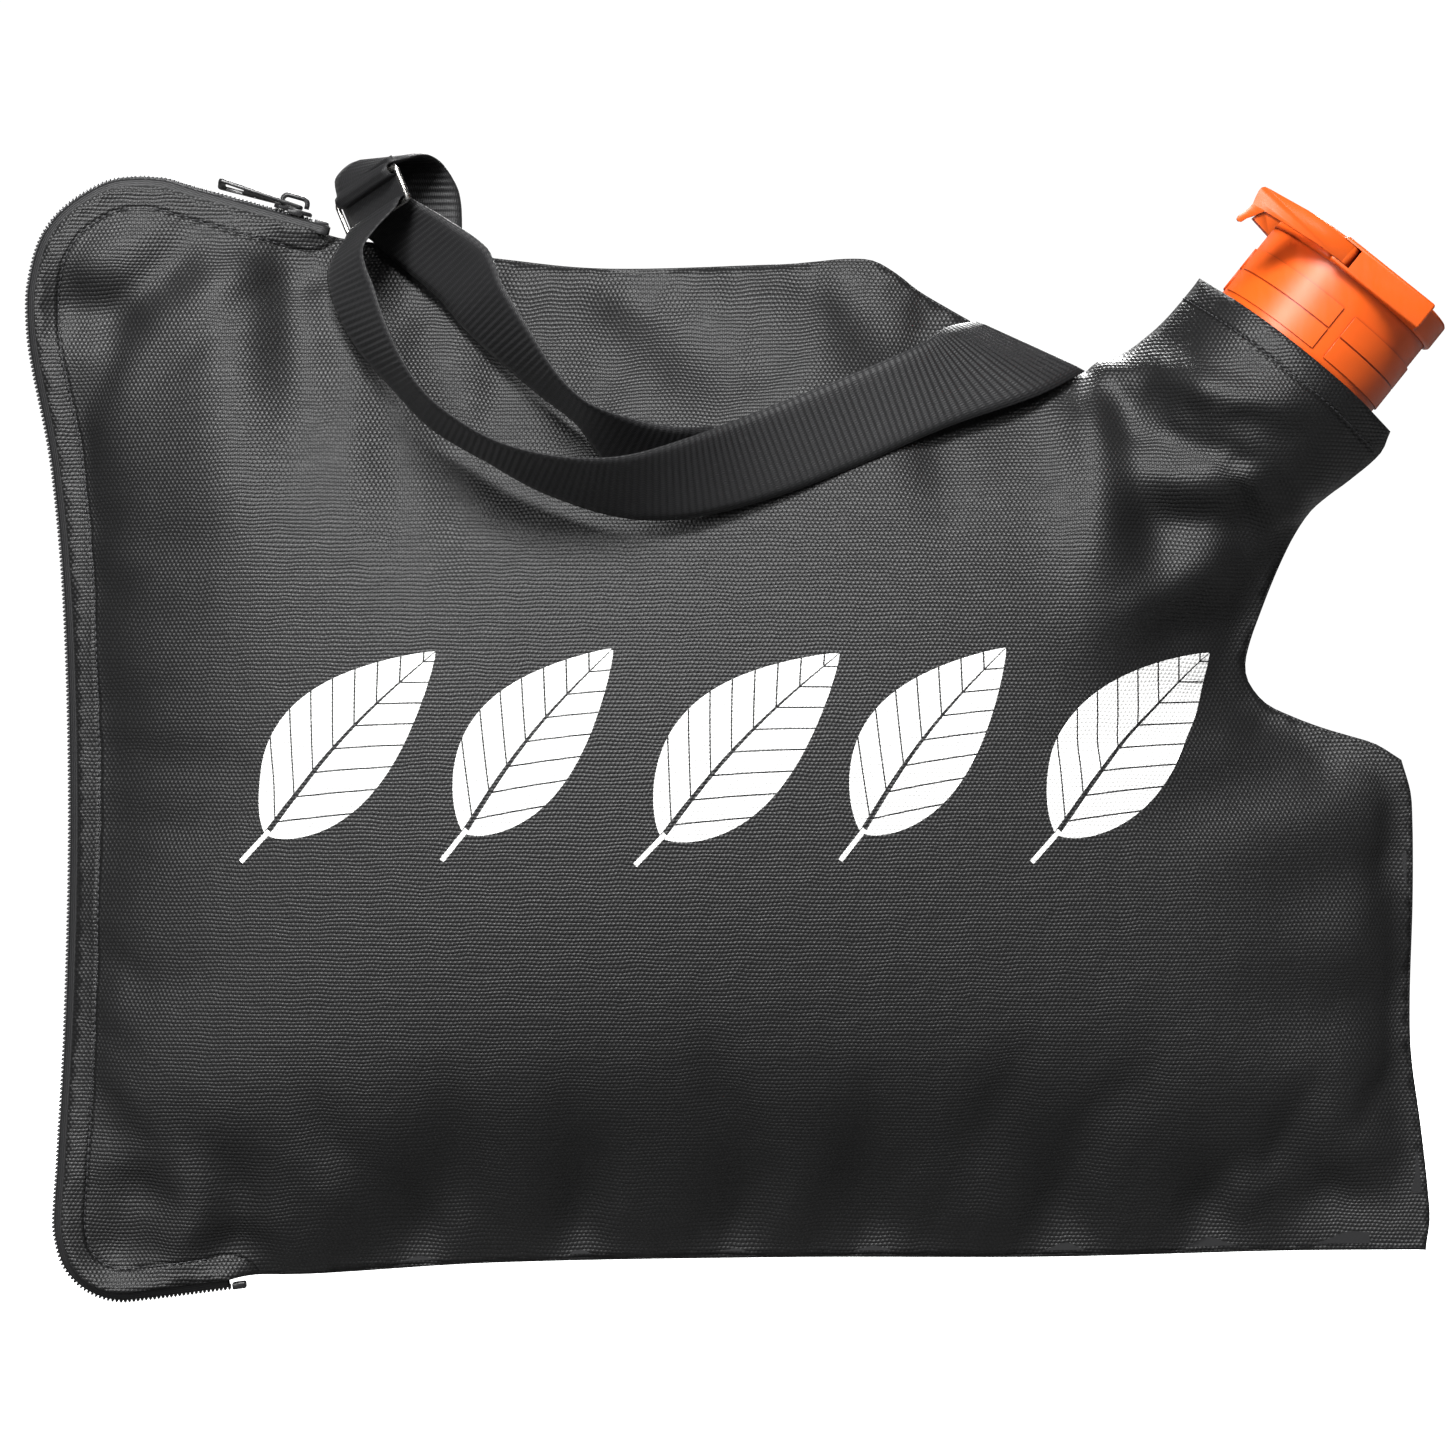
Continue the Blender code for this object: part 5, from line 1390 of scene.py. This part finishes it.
def round_normals(mesh):
    """Faces that lie on a cylinder about the connector's axis are shaded as that cylinder."""
    axis = np.array(next(j for j in frame["joints"] if j["name"] == "latch_hinge")["axis"])
    co = coordinates(mesh)
    normals = np.array([tuple(n.vector) for n in mesh.corner_normals])
    out = co - (co @ axis)[:, None] * axis
    radius = np.linalg.norm(out, axis=1)
    out /= np.maximum(radius, 1e-9)[:, None]
    for face in mesh.polygons:
        corners = list(face.vertices)
        towards = out[corners] @ np.array(face.normal)
        if np.ptp(radius[corners]) < 0.00012 and np.abs(towards).min() > 0.85:
            normals[list(face.loop_indices)] = out[corners] * np.sign(towards)[:, None]
    mesh.normals_split_custom_set(normals.tolist())


def rounded_copy(name, node, slot, angle=30.0, turned=False):
    """A CAD node's shape with soft shading between its smooth faces."""
    bm = merged_copy(node)
    bmesh.ops.recalc_face_normals(bm, faces=bm.faces)
    mesh = bpy.data.meshes.new(name)
    bm.to_mesh(mesh)
    bm.free()
    item = new_object(name, mesh)
    body = frame["nodes"][node]["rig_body"]
    mesh.shade_smooth()
    mesh.set_sharp_from_angle(angle=math.radians(angle))
    if turned:
        round_normals(mesh)
    finish_piece(item, slot, body)
    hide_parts(node)
    return item


def lean(mesh, angle):
    """The pull's free end lies turned a little about its own length, and its hooked end stays as it hangs."""
    co = coordinates(mesh)
    middle = co.mean(axis=0)
    length_wise = np.linalg.svd(co - middle, full_matrices=False)[2][0]
    length_wise = length_wise if length_wise[0] < 0 else -length_wise
    along = (co - middle) @ length_wise
    share = np.clip((along - along.min() - PULL_HOOK) / PULL_HOOK, 0, 1)
    for k, (place, part) in enumerate(zip(co, share * share * (3 - 2 * share))):
        turn = Matrix.Rotation(angle * part, 3, Vector(length_wise))
        co[k] = middle + np.array(turn @ Vector(place - middle)) + [0, 0, PULL_LIFT * part]
    mesh.vertices.foreach_set("co", co.ravel())
    mesh.update()


class LEAFBAG_OT_slider(bpy.types.Operator):
    """Finish the zip's slider, pull and stops"""

    bl_idname = "leafbag.slider"
    bl_label = "Zip slider"

    def execute(self, context):
        for node in ("zip_slider_body", "zip_slider_bridge", "zip_pull_tab", "zip_top_stop", "zip_bottom_stop"):
            item = rounded_copy(f"{node}_enamelled", node, "zip_metal")
            if node == "zip_pull_tab":
                lean(item.data, math.radians(context.scene.leaf_bag_zip.lean))
        return {"FINISHED"}


class LEAFBAG_OT_connector(bpy.types.Operator):
    """Finish the moulded connector and its latch"""

    bl_idname = "leafbag.connector"
    bl_label = "Connector"

    def execute(self, context):
        for node in ("connector_tube", "connector_collar", "latch_arm"):
            rounded_copy(f"{node}_moulded", node, "connector_plastic", turned=node != "latch_arm")
        for node in ("latch_pin", "latch_spring"):
            rounded_copy(f"{node}_drawn", node, "pin_steel")
        return {"FINISHED"}


def webbing_band(name, node, first_of, settings):
    near, far = rails_of(node, first_of)
    pairs = np.column_stack([near, far])
    fine = even(smooth(pairs, settings.step * 3), settings.step * math.sqrt(2))
    near, far = fine[:, :3], fine[:, 3:]

    def relief(distance, edge):
        band = np.clip((edge - 0.0016) / 0.0008, 0, 1)
        return settings.relief * np.sin(2 * math.pi * distance / settings.rib) * band

    item = strip(name, near, far, settings.thickness, 10, relief)
    finish_piece(item, "webbing")
    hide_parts(node)
    return item, float(travel((near + far) / 2)[-1])


class LEAFBAG_OT_strap(bpy.types.Operator):
    """Weave the shoulder strap, its adjuster loop and the wire slide"""

    bl_idname = "leafbag.strap"
    bl_label = "Shoulder strap"

    def execute(self, context):
        settings = context.scene.leaf_bag_strap
        for name, node, first_of in (
            ("strap_webbing", "shoulder_strap", strap_start), ("loop_webbing", "adjuster_loop", loop_start),
        ):
            item, size = webbing_band(name, node, first_of, settings)
        plated = rounded_copy("wire_slide_plated", "wire_slide", "slide_steel", 60.0)
        wire = coordinates(plated.data)
        middle = (wire.min(axis=0) + wire.max(axis=0)) / 2
        long, short, face = np.linalg.svd(wire - middle, full_matrices=False)[2]
        face = face if face[1] > 0 else -face
        reach = np.abs((wire - middle) @ long).max() - 0.0016
        span = np.linspace(-0.0072, 0.0072, 12)[:, None]
        back = middle + face * 0.0020 + span * short
        layer = strip("slide_webbing", back - long * reach, back + long * reach, settings.thickness, 10)
        finish_piece(layer, "webbing")
        return {"FINISHED"}


class LEAFBAG_OT_bindings(bpy.types.Operator):
    """Bind the seam allowances inside"""

    bl_idname = "leafbag.bindings"
    bl_label = "Seam bindings"

    def execute(self, context):
        for node in ("seam_binding_upper", "seam_binding_bottom", "seam_binding_side"):
            rounded_copy(f"{node}_tape", node, "binding_tape")
        return {"FINISHED"}


def soft_light(name, where, target, size, power, gloss=True):
    light = bpy.data.lights.new(name, "AREA")
    light.shape = "RECTANGLE"
    light.size, light.size_y = size
    light.energy = power
    lamp = new_object(name, light)
    lamp.location = where
    lamp.rotation_euler = (Vector(target) - Vector(where)).to_track_quat("-Z", "Y").to_euler()
    lamp.visible_glossy = gloss


class LEAFBAG_OT_stage(bpy.types.Operator):
    """Set the pale floor, the soft lights and the camera"""

    bl_idname = "leafbag.stage"
    bl_label = "Stage"

    def execute(self, context):
        settings = context.scene.leaf_bag_stage
        scene = context.scene
        low, _ = CAD_BOX
        bm = bmesh.new()
        bmesh.ops.create_grid(bm, x_segments=8, y_segments=8, size=12)
        mesh = bpy.data.meshes.new("studio_floor")
        bm.to_mesh(mesh)
        bm.free()
        mesh.transform(Matrix.Translation((0, 0, low.z - 0.0008)))
        floor = new_object("studio_floor", mesh)
        floor.data.materials.append(floor_look("pale_floor", settings.backdrop))
        room_light(settings)
        middle = Vector((settings.middle_x, 0, settings.middle_z))
        soft_light("key_light", middle + Vector((-0.35, -1.75, 1.75)), middle + Vector((0, 0, 0.1)), (1.1, 0.55), 108)
        soft_light("side_light", middle + Vector((-1.35, -2.3, 0.6)), middle, (0.35, 1.0), 36)
        soft_light("neck_light", middle + Vector((1.2, -2.0, 1.4)), middle, (0.4, 0.6), 12)
        soft_light("back_light", middle + Vector((0.35, 1.85, 1.5)), middle, (1.1, 0.6), 90)
        soft_light("back_fill_light", middle + Vector((0.3, 2.6, 0.5)), middle, (1.6, 1.0), 45, False)
        lens = bpy.data.cameras.new("camera")
        lens.sensor_width = 36
        lens.lens = 36 * settings.distance / settings.view_width
        lens.clip_end = 100
        camera = new_object("camera", lens)
        camera.location = middle + Vector((0, -settings.distance, 0))
        camera.rotation_euler = (math.pi / 2, 0, 0)
        scene.camera = camera
        scene.view_settings.view_transform = "Standard"
        return {"FINISHED"}


OPERATORS = (
    LEAFBAG_OT_cloth, LEAFBAG_OT_stitches, LEAFBAG_OT_zip, LEAFBAG_OT_slider, LEAFBAG_OT_connector,
    LEAFBAG_OT_strap, LEAFBAG_OT_bindings, LEAFBAG_OT_stage,
)


class LEAFBAG_PT_panel(bpy.types.Panel):
    """Everything that builds the bag"""

    bl_idname = "LEAFBAG_PT_panel"
    bl_label = "Leaf Vacuum Bag"
    bl_space_type = "VIEW_3D"
    bl_region_type = "UI"
    bl_category = "Leaf Bag"

    def draw(self, context):
        for operator in OPERATORS:
            self.layout.operator(operator.bl_idname)
        for name, kind in SETTINGS:
            box = self.layout.box()
            for key in kind.__annotations__:
                box.prop(getattr(context.scene, name), key)


def register():
    for name, kind in SETTINGS:
        bpy.utils.register_class(kind)
        setattr(bpy.types.Scene, name, PointerProperty(type=kind))
    for kind in (*OPERATORS, LEAFBAG_PT_panel):
        bpy.utils.register_class(kind)


def unregister():
    for kind in (LEAFBAG_PT_panel, *reversed(OPERATORS)):
        bpy.utils.unregister_class(kind)
    for name, kind in reversed(SETTINGS):
        delattr(bpy.types.Scene, name)
        bpy.utils.unregister_class(kind)


def main():
    register()
    bpy.ops.leafbag.cloth()
    bpy.ops.leafbag.stitches()
    bpy.ops.leafbag.zip()
    bpy.ops.leafbag.slider()
    bpy.ops.leafbag.connector()
    bpy.ops.leafbag.strap()
    bpy.ops.leafbag.bindings()
    bpy.ops.leafbag.stage()


if __name__ == "__main__":
    main()
